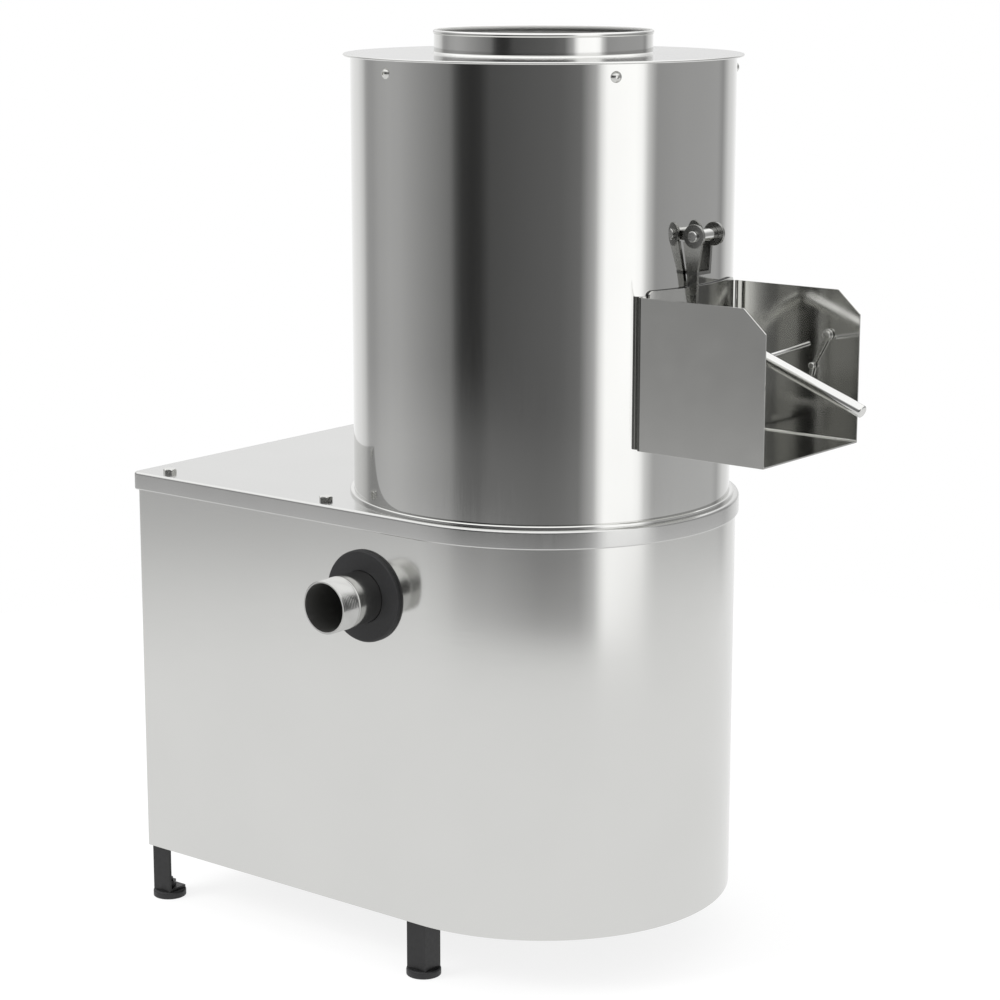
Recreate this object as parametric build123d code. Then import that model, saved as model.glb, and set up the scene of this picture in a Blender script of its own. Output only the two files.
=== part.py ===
from build123d import *
import os
from math import asin, atan2, cos, degrees, radians, sin, sqrt, tan

# Potato peeling machine: a polished drum with a feed neck and a discharge chute
# stands on a sheet-steel housing that covers the motor, belt drive and bearings.
# Sizes are in millimetres. While the pieces are made, the drum axis is x = y = 0,
# the floor is z = 0, +X points along the chute and -Y is the drain side. At the end
# every piece is moved so that the origin lies under the middle of the machine.

# Clearances and cutter overrun
run_fit = 0.05
slip_fit = 0.1
air_gap = 0.4
bolt_slack = 0.4
overrun = 6.0
quarter_turn = 90.0

# Housing
sheet = 1.5
half_width = 207.0
cover_margin = 7.0
back_reach = 405.0
housing_foot = 61.0
cover_top = 493.0
cover_overhang = 3.5
cover_skirt = 19.5
cover_bend = 3.0
corner_bend = 5.0
return_flange = 24.0

# Rear panel
panel_margin = 6.0
vent_length = 70.0
vent_height = 7.0
vent_pitch = 20.0
vent_rows = 5
vent_columns = 2
vent_spread = 60.0
vent_drop = 193.0
panel_screw_radius = 2.5
panel_screw_head = 4.75
panel_screw_head_height = 2.0
panel_screw_length = 9.0
gland_radius = 9.0
gland_bore = 5.0
gland_nut_flat = 22.0
gland_nut_height = 6.0
gland_dome_height = 12.0
gland_y = -120.0
gland_z = 130.0

# Frame of angle iron
angle_leg = 25.0
angle_wall = 3.0
leg_side_gap = 2.5
leg_back_gap = 5.5
front_leg_x = 4.0
foot_radius = 18.5
foot_height = 8.0
foot_edge = 2.5
foot_plate_wall = 3.0
foot_bolt_radius = 4.0
foot_bolt_recess = 9.0
foot_bolt_recess_depth = 5.5
foot_nut_flat = 13.0
foot_nut_height = 6.5
deck_drop = 126.0
deck_wall = 6.0
deck_back = 150.0
deck_corner = 10.0
motor_rail_drop = 88.0
post_x = -178.0
bottom_bar_top = 92.0

# Cover bolts
cover_bolt_back_inset = 35.0
cover_bolt_front_x = -140.0
cover_bolt_side_inset = 18.0
cover_bolt_radius = 4.0
cover_bolt_flat = 13.0
cover_bolt_head = 4.5
cover_bolt_length = 20.0
cover_nut_height = 6.5

# Drum
drum_wall = 2.0
drum_height = 460.0
foot_ring_width = 4.5
foot_ring_height = 3.5
pan_wall = 2.0
pan_rim = 5.0
pan_collar = 28.0
lid_wall = 1.5
lid_overhang = 7.5
lid_bead = 1.25
lid_skirt = 28.0
lid_skirt_wall = 1.5
lid_screw_drop = 15.0
lid_screw_radius = 3.0
lid_screw_head = 5.8
lid_screw_dome = 3.4
lid_screw_count = 5
lid_screw_first_angle = -104.2
neck_radius = 113.5
neck_wall = 1.5
neck_height = 24.0
neck_bead = 1.2
neck_foot = 3.5

# Abrasive liner inside the drum
liner_below_disc = 5.0
liner_height = 230.0
liner_wall = 5.0
liner_ring_height = 6.0
liner_ring_width = 8.0

# Discharge port and chute
port_half_width = 67.0
port_rise = 90.0
port_height = 137.0
port_corner = 10.0
chute_margin = 13.0
chute_reach = 334.0
chute_below_port = 14.0
chute_height = 154.0
chute_sheet = 1.5
chute_chamfer_run = 26.0
chute_chamfer_drop = 23.0
chute_bend_radius = 6.0

# Door, its hinge and handle
gasket_wall = 1.9
gasket_width = 8.0
door_wall = 2.0
door_floor_gap = 4.5
door_corner = 5.0
hinge_y = -14.5
hinge_standoff = 13.0
hinge_rise = 287.2
hinge_bolt_radius = 4.0
hinge_bolt_head_radius = 5.5
hinge_bolt_head = 3.0
hinge_barrel_radius = 6.4
hinge_barrel_length = 31.0
hinge_web_half_height = 4.5
eye_radius = 12.0
cheek_wall = 3.5
cheek_back_gap = 0.8
cheek_front = 9.5
cheek_far_front = -2.5
arm_neck_drop = 36.0
arm_neck_front = 0.2
arm_neck_shift = 7.0
arm_root_drop = 69.0
arm_root_front = -3.5
arm_rib_wall = 4.5
arm_rib_drop = 98.2
arm_y = -20.0
handle_radius = 6.5
handle_length = 208.0
handle_drop_angle = 20.5
handle_root_gap = 3.6
handle_rise = 203.0
handle_edge = 2.0
crossbar_radius = 2.5
crossbar_along = 88.0
crossbar_reach = 82.0
crossbar_tilt = 3.0

# Catch lever on the far wall of the chute
catch_inset = 35.0
catch_drop = 46.5
catch_lean = 27.0
catch_span = 37.0
catch_tail = 11.0
catch_tail_turn = 14.0
catch_wall = 2.0
catch_eye_radius = 6.0
catch_half_width = 2.5
catch_tip_half_width = 1.6
catch_knuckle_radius = 3.5
catch_knuckle_height = 5.0
catch_bolt_radius = 2.5
catch_bolt_head_radius = 4.5
catch_bolt_head_height = 3.2
catch_bolt_shoulder_radius = 4.5
catch_nut_flat = 8.0
catch_nut_height = 3.5
catch_gap = 1.5

# Drain
drain_x = -71.0
drain_drop = 89.0
drain_radius = 28.0
drain_rear_radius = 27.4
drain_bore = 25.5
drain_plate_half_width = 45.0
drain_front_length = 35.0
drain_stub_reach = 64.0
drain_chamfer = 0.8
grommet_radius = 48.5
grommet_neck = 38.0
grommet_lip = 44.0
grommet_wall = 5.5
grommet_edge = 2.5
grommet_lip_wall = 3.0

# Main shaft and its bearings
shaft_radius = 12.5
shaft_shoulder_radius = 15.0
shaft_thread_radius = 10.0
shaft_end = 7.0
bearing_radius = 26.0
bearing_width = 15.0
bearing_shield = 1.2
bearing_race = 4.0
housing_body_radius = 42.0
housing_body_length = 76.0
housing_flange_radius = 70.0
housing_flange_wall = 12.0
housing_boss_radius = 38.0
housing_boss_height = 40.0
housing_bore = 20.0
bearing_bolt_circle = 56.0
bearing_bolt_radius = 5.0
bearing_bolt_flat = 17.0
bearing_bolt_head = 6.4
bearing_bolt_count = 4
bolt_turn = 45.0
seal_radius = 34.0
seal_height = 8.0
seal_lip = 3.0
shoulder_gap = 2.0

# Peeling disc
disc_gap = 6.9
disc_wall = 8.0
disc_rise = 52.0
hub_radius = 32.0
hub_height = 25.0
ridge_count = 3
ridge_root_radius = 44.0
ridge_root_half_width = 12.0
ridge_root_height = 4.0
ridge_tip_half_width = 36.0
ridge_tip_height = 14.0
ridge_inset = 3.0
paddle_count = 2
paddle_wall = 4.0
paddle_height = 18.0
paddle_root = 50.0
paddle_inset = 6.0
disc_nut_flat = 30.0
disc_nut_height = 14.0
disc_nut_dome = 9.0
disc_washer_radius = 24.0
disc_washer_wall = 3.0
shaft_thread_length = 15.0

# Belt drive
pulley_drop = 122.0
pulley_width = 22.0
driven_pitch_radius = 96.0
drive_pitch_radius = 24.0
belt_top_width = 13.0
belt_height = 8.0
belt_pitch_depth = 2.75
belt_flank_angle = 18.0
groove_floor_gap = 2.0
driven_hub_radius = 30.0
driven_hub_height = 34.0
driven_rim_wall = 12.0
driven_web_wall = 8.0
web_hole_radius = 14.0
web_hole_circle = 54.0
web_hole_count = 5
drive_hub_radius = 20.0
drive_hub_height = 8.0

# Motor, hung with its shaft down
motor_back_inset = 115.0
motor_plate_wall = 6.0
motor_plate_margin = 98.0
motor_plate_reach = 196.0
motor_flange_radius = 80.0
motor_flange_wall = 10.0
motor_bell_height = 18.0
motor_shell_radius = 62.0
motor_shell_wall = 5.0
motor_shell_height = 130.0
fin_count = 24
fin_height = 6.0
fin_wall = 2.4
stator_bore = 39.0
stator_height = 90.0
rotor_radius = 38.0
rotor_height = 88.0
motor_shaft_radius = 9.5
motor_shaft_end = 4.0
fan_cover_height = 42.0
fan_cover_wall = 1.2
fan_radius = 54.0
fan_hub_radius = 14.0
fan_blade_count = 7
fan_blade_wall = 2.0
fan_blade_height = 18.0
fan_lift = 8.0
fan_vent_width = 7.0
fan_vent_length = 32.0
fan_vent_circle = 36.0
fan_vent_count = 10
motor_bolt_circle = 70.0
motor_bolt_radius = 4.0
motor_bolt_flat = 13.0
motor_bolt_head = 5.3
motor_bolt_count = 4
motor_slot_travel = 16.0
terminal_box_width = 74.0
terminal_box_depth = 34.0
terminal_box_height = 60.0
terminal_box_corner = 5.0
terminal_lid_wall = 2.5

# Heights and places that follow from the sizes above
cover_under = cover_top - sheet
wrap_back = back_reach - sheet
leg_corner_y = half_width - sheet - leg_side_gap
rear_leg_x = -(wrap_back - leg_back_gap)
cover_bolt_x = (-(back_reach - cover_bolt_back_inset), cover_bolt_front_x)
cover_bolt_y = half_width - cover_bolt_side_inset
vent_low = cover_top - vent_drop
deck_top = cover_top - deck_drop
motor_rail_top = deck_top - motor_rail_drop
motor_x = -(back_reach - motor_back_inset)
drum_radius = half_width - cover_margin
drum_top = cover_top + drum_height
lid_radius = drum_radius + lid_overhang
lid_under = drum_top - lid_wall
deck_under = deck_top - deck_wall
drain_z = cover_top - drain_drop
drain_reach = half_width + drain_stub_reach
drum_bore = drum_radius - drum_wall
liner_radius = drum_bore - slip_fit
liner_bore = liner_radius - liner_wall
disc_radius = liner_bore - disc_gap
disc_low = cover_top + disc_rise
ridge_end_radius = disc_radius - ridge_inset
paddle_tip = disc_radius - paddle_inset
liner_low = disc_low - liner_below_disc
liner_high = liner_low + liner_height
port_low = cover_top + port_rise
port_high = port_low + port_height
chute_low = port_low - chute_below_port
chute_high = chute_low + chute_height
hinge_x = drum_radius + hinge_standoff
hinge_z = cover_top + hinge_rise
arm_rib_low = hinge_z - arm_rib_drop
gasket_radius = drum_radius + slip_fit
gasket_face = gasket_radius + gasket_wall
door_radius = gasket_face + air_gap
door_face = door_radius + door_wall
handle_root_x = door_face + handle_root_gap
handle_root_z = cover_top + handle_rise
catch_x = chute_reach - catch_inset
catch_z = chute_high - catch_drop
door_half_width = port_half_width + gasket_width
chute_half_width = door_half_width + chute_margin
door_low = chute_low + chute_sheet + door_floor_gap
door_high = port_high + gasket_width
rail_y = leg_corner_y - angle_wall
rail_back = rear_leg_x + angle_wall
rail_front = front_leg_x - angle_wall
disc_high = disc_low + disc_wall
housing_body_low = deck_under - housing_body_length
housing_boss_high = deck_top + housing_boss_height
shoulder_low = housing_boss_high + seal_height + shoulder_gap
shoulder_high = disc_low - hub_height
pulley_low = deck_top - pulley_drop
pulley_mid = pulley_low + pulley_width / 2
shaft_low = pulley_low - shaft_end
motor_shaft_low = pulley_low - motor_shaft_end
motor_plate_top = motor_rail_top + motor_plate_wall
motor_shell_low = motor_plate_top + motor_flange_wall + motor_bell_height
motor_shell_high = motor_shell_low + motor_shell_height
neck_top = drum_top + neck_height
handle_slope = radians(handle_drop_angle)
handle_end_x = (handle_root_x + (handle_length - handle_edge) * cos(handle_slope)
                + (handle_radius - handle_edge) * sin(handle_slope) + handle_edge)


# Shapes used by several pieces

def d_outline(half, back, bend):
    """Plan of the housing: flat back with rounded corners and a half-round front."""
    body = Rectangle(back, 2 * half, align=(Align.MAX, Align.CENTER))
    body = fillet(body.vertices().group_by(Axis.X)[0], bend)
    return body + Circle(half)


def turned(points):
    """Solid of revolution about Z from (radius, height) points."""
    return revolve(Plane.XZ * make_face(Polyline(*points, close=True)), Axis.Z)


def tube(outer, inner, low, high):
    """Upright tube between two heights."""
    return Pos(0, 0, low) * extrude(Circle(outer) - Circle(inner), high - low)


def rod(radius, low, high):
    """Upright round bar between two heights."""
    return Pos(0, 0, low) * extrude(Circle(radius), high - low)


def hexagon(flat, height):
    """Upright hexagonal prism, measured across its flats."""
    return extrude(RegularPolygon(flat / 2, 6, major_radius=False), height)


def to_drain_side(shape):
    """Turn a shape that points up so that it points along -Y."""
    return Rot(90, 0, 0) * shape


def to_back(shape):
    """Turn a shape that points up so that it points along -X."""
    return Rot(0, -90, 0) * shape


def both_sides(shape):
    """A piece and its mirror image across the machine's long middle plane."""
    return [shape, mirror(shape, about=Plane.XZ)]


def angle_section(across, up):
    """Angle-iron outline with its corner on the origin, flanges along the signs given."""
    return make_face(Polyline(
        (0, 0),
        (across * angle_leg, 0),
        (across * angle_leg, up * angle_wall),
        (across * angle_wall, up * angle_wall),
        (across * angle_wall, up * angle_leg),
        (0, up * angle_leg),
        close=True))


def long_rail(top, back, front):
    """Rail along X on the drain side, one flange level with the given height."""
    start = Plane(origin=(back, -rail_y, top), x_dir=(0, 1, 0), z_dir=(1, 0, 0))
    return extrude(start * angle_section(1, -1), front - back)


def cross_bar(x, toward, top):
    """Bar along Y between the long rails, upright flange at the given x."""
    reach = rail_y - angle_wall
    start = Plane(origin=(x, reach, top), x_dir=(1, 0, 0), z_dir=(0, -1, 0))
    return extrude(start * angle_section(toward, -1), 2 * reach)


def wall_patch(inner, outer, half, low, high, corner):
    """Curved patch of a cylinder wall on the chute side, with rounded corners."""
    window = Rectangle(2 * half, high - low)
    window = fillet(window.vertices(), corner)
    start = Plane(origin=(0, 0, (low + high) / 2), x_dir=(0, 1, 0), z_dir=(1, 0, 0))
    block = extrude(start * window, outer + overrun)
    return tube(outer, inner, low, high) & block


def port_cutter(margin):
    """Block that opens the discharge port through a wall of the drum."""
    window = Rectangle(2 * (port_half_width + margin), port_high - port_low + 2 * margin)
    window = fillet(window.vertices(), port_corner)
    start = Plane(origin=(0, 0, (port_low + port_high) / 2), x_dir=(0, 1, 0),
                  z_dir=(1, 0, 0))
    return extrude(start * window, drum_radius + overrun)


# Housing

def panel_screw_places():
    """Places of the rear panel's screws: two columns of three."""
    column = half_width - return_flange / 2
    low = housing_foot + 2 * panel_margin
    high = cover_top - cover_skirt - 2 * panel_margin
    heights = (low, (low + high) / 2, high)
    return [(-back_reach, side * column, z) for side in (-1, 1) for z in heights]


def make_housing_wrap():
    """Two flat sides and a half-round front, welded edge to edge."""
    outer = d_outline(half_width, wrap_back, corner_bend)
    inner = d_outline(half_width - sheet, wrap_back - sheet, corner_bend - sheet)
    height = cover_under - housing_foot
    wrap = Pos(0, 0, housing_foot) * extrude(outer - inner, height)
    opening = Box(2 * corner_bend, 2 * (half_width - return_flange), height,
                  align=(Align.CENTER, Align.CENTER, Align.MIN))
    wrap -= Pos(-wrap_back, 0, housing_foot) * opening
    hole = to_drain_side(Cylinder(grommet_neck + slip_fit, 2 * overrun))
    wrap -= Pos(drain_x, -half_width, drain_z) * hole
    for place in panel_screw_places():
        wrap -= Pos(place) * to_back(Cylinder(panel_screw_radius + bolt_slack, 2 * overrun))
    front = wrap & Pos(0, 0, housing_foot) * Box(
        2 * half_width, 4 * half_width, height, align=(Align.MIN, Align.CENTER, Align.MIN))
    sides = (wrap - front).solids()
    return [front] + list(sides)


def make_rear_panel():
    low = housing_foot + panel_margin
    high = cover_under - panel_margin
    face = Rectangle(2 * (half_width - panel_margin), high - low)
    face = fillet(face.vertices(), corner_bend)
    slot = SlotOverall(vent_length, vent_height)
    vents = GridLocations(2 * vent_spread, vent_pitch, vent_columns, vent_rows)
    start = Plane(origin=(-back_reach, 0, (low + high) / 2), x_dir=(0, -1, 0),
                  z_dir=(-1, 0, 0))
    middle = vent_low - (low + high) / 2
    face -= Pos(0, middle) * vents * slot
    panel = extrude(start * face, -sheet)
    for place in panel_screw_places():
        panel -= Pos(place) * to_back(Cylinder(panel_screw_radius + bolt_slack, 2 * overrun))
    hole = to_back(Cylinder(gland_radius + slip_fit, 2 * overrun))
    return panel - Pos(-back_reach, gland_y, gland_z) * hole


def make_panel_screws():
    """Screws into the rear legs, with the spacers between legs and sheet."""
    head = extrude(Circle(panel_screw_head), panel_screw_head_height)
    head = chamfer(head.edges().group_by(Axis.Z)[-1], panel_screw_head_height / 2)
    screw = head + rod(panel_screw_radius, -panel_screw_length, 0)
    leg_face = -(rear_leg_x + back_reach)
    spacer = tube(panel_screw_head, panel_screw_radius + slip_fit, leg_face, -2 * sheet)
    return [Pos(place) * to_back(solid) for place in panel_screw_places()
            for solid in (screw, spacer)]


def make_cable_gland():
    nut = hexagon(gland_nut_flat, gland_nut_height)
    dome = Pos(0, 0, gland_nut_height) * Cone(
        gland_nut_flat / 2, gland_bore + gland_nut_height / 2,
        gland_dome_height, align=(Align.CENTER, Align.CENTER, Align.MIN))
    stem_end = -sheet - 2 * gland_nut_height
    stem = rod(gland_radius, stem_end, 0)
    lock_nut = Pos(0, 0, -sheet - gland_nut_height) * hexagon(gland_nut_flat, gland_nut_height)
    bore = rod(gland_bore, stem_end - overrun, 2 * gland_nut_height + gland_dome_height)
    gland = nut + dome + stem + lock_nut - bore
    return Pos(-back_reach, gland_y, gland_z) * to_back(gland)


def make_top_cover():
    grow = cover_overhang
    skirt_low = cover_top - cover_skirt
    outer = extrude(d_outline(half_width + grow, back_reach + grow, corner_bend + grow),
                    cover_skirt)
    outer = fillet(outer.edges().group_by(Axis.Z)[-1], cover_bend)
    grow -= sheet
    inner = extrude(d_outline(half_width + grow, back_reach + grow, corner_bend + grow),
                    cover_skirt - sheet)
    inner = fillet(inner.edges().group_by(Axis.Z)[-1], cover_bend - sheet)
    cover = Pos(0, 0, skirt_low) * (outer - inner)
    cover -= rod(drum_radius + slip_fit, skirt_low, cover_top + overrun)
    for x in cover_bolt_x:
        for hole in both_sides(Pos(x, cover_bolt_y) * rod(
                cover_bolt_radius + bolt_slack, skirt_low, cover_top + overrun)):
            cover -= hole
    return cover


def make_cover_bolts():
    nut_top = -sheet - angle_wall
    head = hexagon(cover_bolt_flat, cover_bolt_head)
    bolt = head + rod(cover_bolt_radius, -cover_bolt_length, 0)
    nut = Pos(0, 0, nut_top - cover_nut_height) * hexagon(cover_bolt_flat, cover_nut_height)
    bolt += nut
    solids = []
    for x in cover_bolt_x:
        solids += both_sides(Pos(x, -cover_bolt_y, cover_top) * bolt)
    return solids


# Frame

def foot_place(corner_x, toward):
    """Middle of the square that an angle-iron leg fills in plan, drain side."""
    return (corner_x + toward * angle_leg / 2, -leg_corner_y + angle_leg / 2)


def make_leg(corner_x, toward, top):
    """Drain-side leg: angle iron with a small bolting plate welded in its foot."""
    leg = Pos(corner_x, -leg_corner_y, foot_height) * extrude(
        angle_section(toward, 1), top - foot_height)
    x, y = foot_place(corner_x, toward)
    inside = angle_leg - angle_wall
    shift = angle_wall / 2
    plate = Pos(x + toward * shift, y + shift, foot_height) * Box(
        inside, inside, foot_plate_wall, align=(Align.CENTER, Align.CENTER, Align.MIN))
    hole = Pos(x, y) * rod(foot_bolt_radius + bolt_slack, foot_height - overrun,
                           foot_height + foot_plate_wall + overrun)
    return leg + plate - hole


def make_foot(corner_x, toward):
    x, y = foot_place(corner_x, toward)
    pad = extrude(Circle(foot_radius), foot_height)
    pad = fillet(pad.edges().group_by(Axis.Z)[-1], foot_edge)
    pad -= rod(foot_bolt_radius + slip_fit, 0, foot_height)
    pad -= rod(foot_bolt_recess, 0, foot_bolt_recess_depth)
    return Pos(x, y) * pad


def make_foot_bolt(corner_x, toward):
    x, y = foot_place(corner_x, toward)
    head_low = foot_bolt_recess_depth - foot_nut_height * 2 / 3
    head = Pos(0, 0, head_low) * hexagon(foot_nut_flat, foot_bolt_recess_depth - head_low)
    plate_top = foot_height + foot_plate_wall
    nut = Pos(0, 0, plate_top) * hexagon(foot_nut_flat, foot_nut_height)
    shank = rod(foot_bolt_radius, head_low, plate_top + foot_nut_height * 3 / 2)
    return Pos(x, y) * (head + nut + shank)


def make_top_rails():
    rail = long_rail(cover_under, rail_back, cover_bolt_x[1] + angle_leg)
    rail -= rod(drum_radius + cover_overhang, cover_under - 2 * angle_leg, cover_top)
    for x in cover_bolt_x:
        rail -= Pos(x, -cover_bolt_y) * rod(
            cover_bolt_radius + bolt_slack, cover_under - 2 * angle_leg, cover_top)
    return both_sides(rail)


def make_deck_rails():
    """Rails under the deck, with the short posts that carry the top rails' ends."""
    rails = both_sides(long_rail(deck_under, rail_back, rail_front))
    return rails + make_cover_posts()


def make_motor_rails():
    return both_sides(long_rail(motor_rail_top, rail_back, rail_front))


def make_cover_posts():
    """Short posts that carry the front ends of the top rails."""
    inner_y = rail_y - angle_wall
    height = cover_under - angle_wall - deck_under
    post = Pos(post_x, -inner_y, deck_under) * extrude(angle_section(1, 1), height)
    return both_sides(post)


def make_crossbars():
    """Bars across the frame: one behind the cover, two low between the legs."""
    top = cross_bar(rail_back, 1, cover_under)
    for hole in both_sides(Pos(cover_bolt_x[0], cover_bolt_y) * rod(
            cover_bolt_radius + bolt_slack, cover_under - angle_leg, cover_under)):
        top -= hole
    reach = 2 * (rail_y - angle_leg)
    between = Box(4 * angle_leg, reach, 4 * angle_leg)
    top &= Pos(rail_back, 0, cover_under) * between
    low_rear = cross_bar(rail_back, 1, bottom_bar_top)
    low_front = cross_bar(rail_front, -1, bottom_bar_top)
    return [top, low_rear, low_front]


def make_bearing_deck():
    plate = Pos(0, 0, deck_under) * extrude(
        d_outline(rail_y, deck_back, deck_corner), deck_wall)
    plate -= rod(housing_boss_radius + slip_fit, deck_under - overrun, deck_top + overrun)
    for place in PolarLocations(bearing_bolt_circle, bearing_bolt_count, bolt_turn):
        plate -= place * rod(bearing_bolt_radius + slip_fit, deck_under - overrun,
                             deck_top + overrun)
    return plate


# Drum

def make_drum_sump():
    """Lower length of the drum in plates welded edge to edge, one with the drain hole."""
    sump = tube(drum_radius, drum_bore, deck_top, cover_top)
    hole = to_drain_side(rod(drain_rear_radius + slip_fit, 0, drum_radius + overrun))
    sump -= Pos(drain_x, 0, drain_z) * hole
    reach = drum_radius + overrun
    quarter = Pos(0, 0, deck_top) * Box(reach, reach, cover_top - deck_top,
                                        align=(Align.MIN, Align.MIN, Align.MIN))
    front_far, rear_far, rear_near, front_near = [
        sump & Rot(0, 0, quarter_turn * turn) * quarter for turn in range(4)]
    behind = Pos(drain_x - drain_plate_half_width, 0, deck_top) * Box(
        reach, 2 * reach, cover_top - deck_top, align=(Align.MAX, Align.CENTER, Align.MIN))
    drain_plate = rear_near - behind
    return [front_far, rear_far, rear_near & behind, drain_plate, front_near]


def make_drum_shell():
    shell = tube(drum_radius, drum_bore, cover_top, lid_under)
    shell -= port_cutter(0)
    for place in lid_screw_places():
        shell -= place * Rot(0, 90, 0) * Cylinder(lid_screw_radius + slip_fit, 4 * overrun)
    return shell


def make_drum_foot_ring():
    """Rounded welding bead where the drum leaves the cover."""
    low = cover_top
    inner = drum_radius + slip_fit
    outer = inner + foot_ring_width
    ring = tube(outer, inner, low, low + foot_ring_height)
    top_edge = ring.edges().group_by(Axis.Z)[-1].sort_by(SortBy.LENGTH)[-1]
    return fillet(top_edge, foot_ring_height * 3 / 4)


def make_drum_pan():
    """Floor of the drain chamber with a turned-up rim, and the collar round the hub."""
    rim = drum_bore - slip_fit
    hub = housing_boss_radius + slip_fit
    floor = turned([
        (hub, deck_top),
        (rim, deck_top),
        (rim, deck_top + pan_rim),
        (rim - pan_wall, deck_top + pan_rim),
        (rim - pan_wall, deck_top + pan_wall),
        (hub, deck_top + pan_wall)])
    collar = tube(hub + pan_wall, hub, deck_top + pan_wall, deck_top + pan_collar)
    return [floor, collar]


def make_liner_ring():
    high = liner_low
    return tube(liner_radius, liner_radius - liner_ring_width, high - liner_ring_height, high)


def make_abrasive_liner():
    liner = tube(liner_radius, liner_bore, liner_low, liner_high)
    return liner - port_cutter(bolt_slack)


def lid_screw_places():
    """Places of the lid screws on the drum, each turned so that +X points outward."""
    height = drum_top - lid_screw_drop
    step = 360 / lid_screw_count
    return [Pos(0, 0, height) * Rot(0, 0, lid_screw_first_angle + step * turn)
            * Pos(drum_radius, 0, 0) for turn in range(lid_screw_count)]


def make_drum_lid():
    """Round lid with a rolled edge and a skirt that fits inside the drum."""
    skirt = drum_bore - slip_fit
    hole = neck_radius + slip_fit
    bead_middle = lid_radius - lid_bead
    plate = turned([
        (hole, lid_under),
        (skirt - lid_skirt_wall, lid_under),
        (skirt - lid_skirt_wall, lid_under - lid_skirt),
        (skirt, lid_under - lid_skirt),
        (skirt, lid_under),
        (bead_middle, lid_under),
        (bead_middle, drum_top),
        (hole, drum_top)])
    bead = Plane.XZ * Pos(bead_middle, drum_top - lid_bead) * Circle(lid_bead)
    lid = plate + revolve(bead, Axis.Z)
    for place in lid_screw_places():
        lid -= place * Rot(0, 90, 0) * Cylinder(lid_screw_radius + slip_fit, 3 * overrun)
    return lid


def make_feed_neck():
    """Short open neck with a rolled rim and a welding bead at its foot."""
    neck = tube(neck_radius, neck_radius - neck_wall, lid_under, neck_top - neck_bead)
    rim_middle = neck_radius - neck_wall / 2
    rim = Plane.XZ * Pos(rim_middle, neck_top - neck_bead) * Circle(neck_bead)
    foot = turned([
        (neck_radius - neck_wall / 2, drum_top),
        (neck_radius + neck_foot, drum_top),
        (neck_radius + neck_foot, drum_top + neck_foot / 3),
        (neck_radius, drum_top + neck_foot),
        (neck_radius - neck_wall / 2, drum_top + neck_foot)])
    return neck + revolve(rim, Axis.Z) + foot


def make_lid_screws():
    """Dome-headed screws whose heads sit down on the curve of the drum."""
    ball = (lid_screw_head ** 2 + lid_screw_dome ** 2) / (2 * lid_screw_dome)
    sink = drum_radius - sqrt(drum_radius ** 2 - lid_screw_head ** 2)
    dome = Pos(0, 0, lid_screw_dome - ball) * Sphere(ball)
    head = dome & rod(lid_screw_head, 0, lid_screw_dome)
    head += rod(lid_screw_head, -sink, 0)
    head -= Pos(0, 0, -drum_radius) * Rot(0, 90, 0) * Cylinder(
        drum_radius, 4 * lid_screw_head)
    grip = drum_wall + slip_fit + lid_skirt_wall + lid_screw_dome
    screw = Rot(0, 90, 0) * (head + rod(lid_screw_radius, -grip, lid_screw_dome / 2))
    return [place * screw for place in lid_screw_places()]


# Chute

def chute_bend_middle():
    """Middle of the bend where a side wall turns in along the drum, drain side."""
    reach = drum_radius + slip_fit + chute_bend_radius
    y = -chute_half_width + chute_bend_radius
    return (sqrt(reach ** 2 - y ** 2), y)


def make_chute_side():
    """Drain-side wall of the chute, bent in at the drum to a narrow flange on it."""
    seat = drum_radius + slip_fit
    middle = chute_bend_middle()
    lean = degrees(atan2(middle[1], middle[0]))
    turn = lean - quarter_turn
    flange_end = -degrees(asin((door_half_width + air_gap) / seat))
    outer = -chute_half_width
    inner = outer + chute_sheet
    inside = chute_bend_radius - chute_sheet
    first = CenterArc((0, 0), seat, lean, flange_end - lean)
    last = CenterArc((0, 0), seat + chute_sheet, lean, flange_end - lean)
    profile = make_face([
        Line((chute_reach, outer), (middle[0], outer)),
        CenterArc(middle, chute_bend_radius, -quarter_turn, turn),
        first,
        Line(first @ 1, last @ 1),
        last,
        CenterArc(middle, inside, -quarter_turn, turn),
        Line((middle[0], inner), (chute_reach, inner)),
        Line((chute_reach, inner), (chute_reach, outer))])
    wall = Pos(0, 0, chute_low) * extrude(profile, chute_high - chute_low)
    start = Plane(origin=(chute_reach, 0, chute_high), x_dir=(1, 0, 0), z_dir=(0, -1, 0))
    corner = make_face(Polyline(
        (-chute_chamfer_run, 0),
        (0, 0),
        (0, -chute_chamfer_drop),
        close=True))
    return wall - extrude(start * corner, chute_half_width)


def make_chute_floor():
    """Floor between the side walls, without the slivers outside their bends."""
    reach = chute_half_width - chute_sheet
    plate = Box(chute_reach, 2 * reach, chute_sheet,
                align=(Align.MIN, Align.CENTER, Align.MIN))
    plate = Pos(0, 0, chute_low) * plate - rod(drum_radius + slip_fit, chute_low, chute_high)
    pieces = plate - both_sides(make_chute_side())
    return pieces.solids().sort_by(SortBy.VOLUME)[-1]


def catch_frame():
    """Frame of the catch: origin on the wall at its bolt, +X down the lever."""
    lean = radians(catch_lean)
    return Plane(origin=(catch_x, chute_half_width - chute_sheet, catch_z),
                 x_dir=(-sin(lean), 0, -cos(lean)), z_dir=(0, -1, 0))


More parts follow.
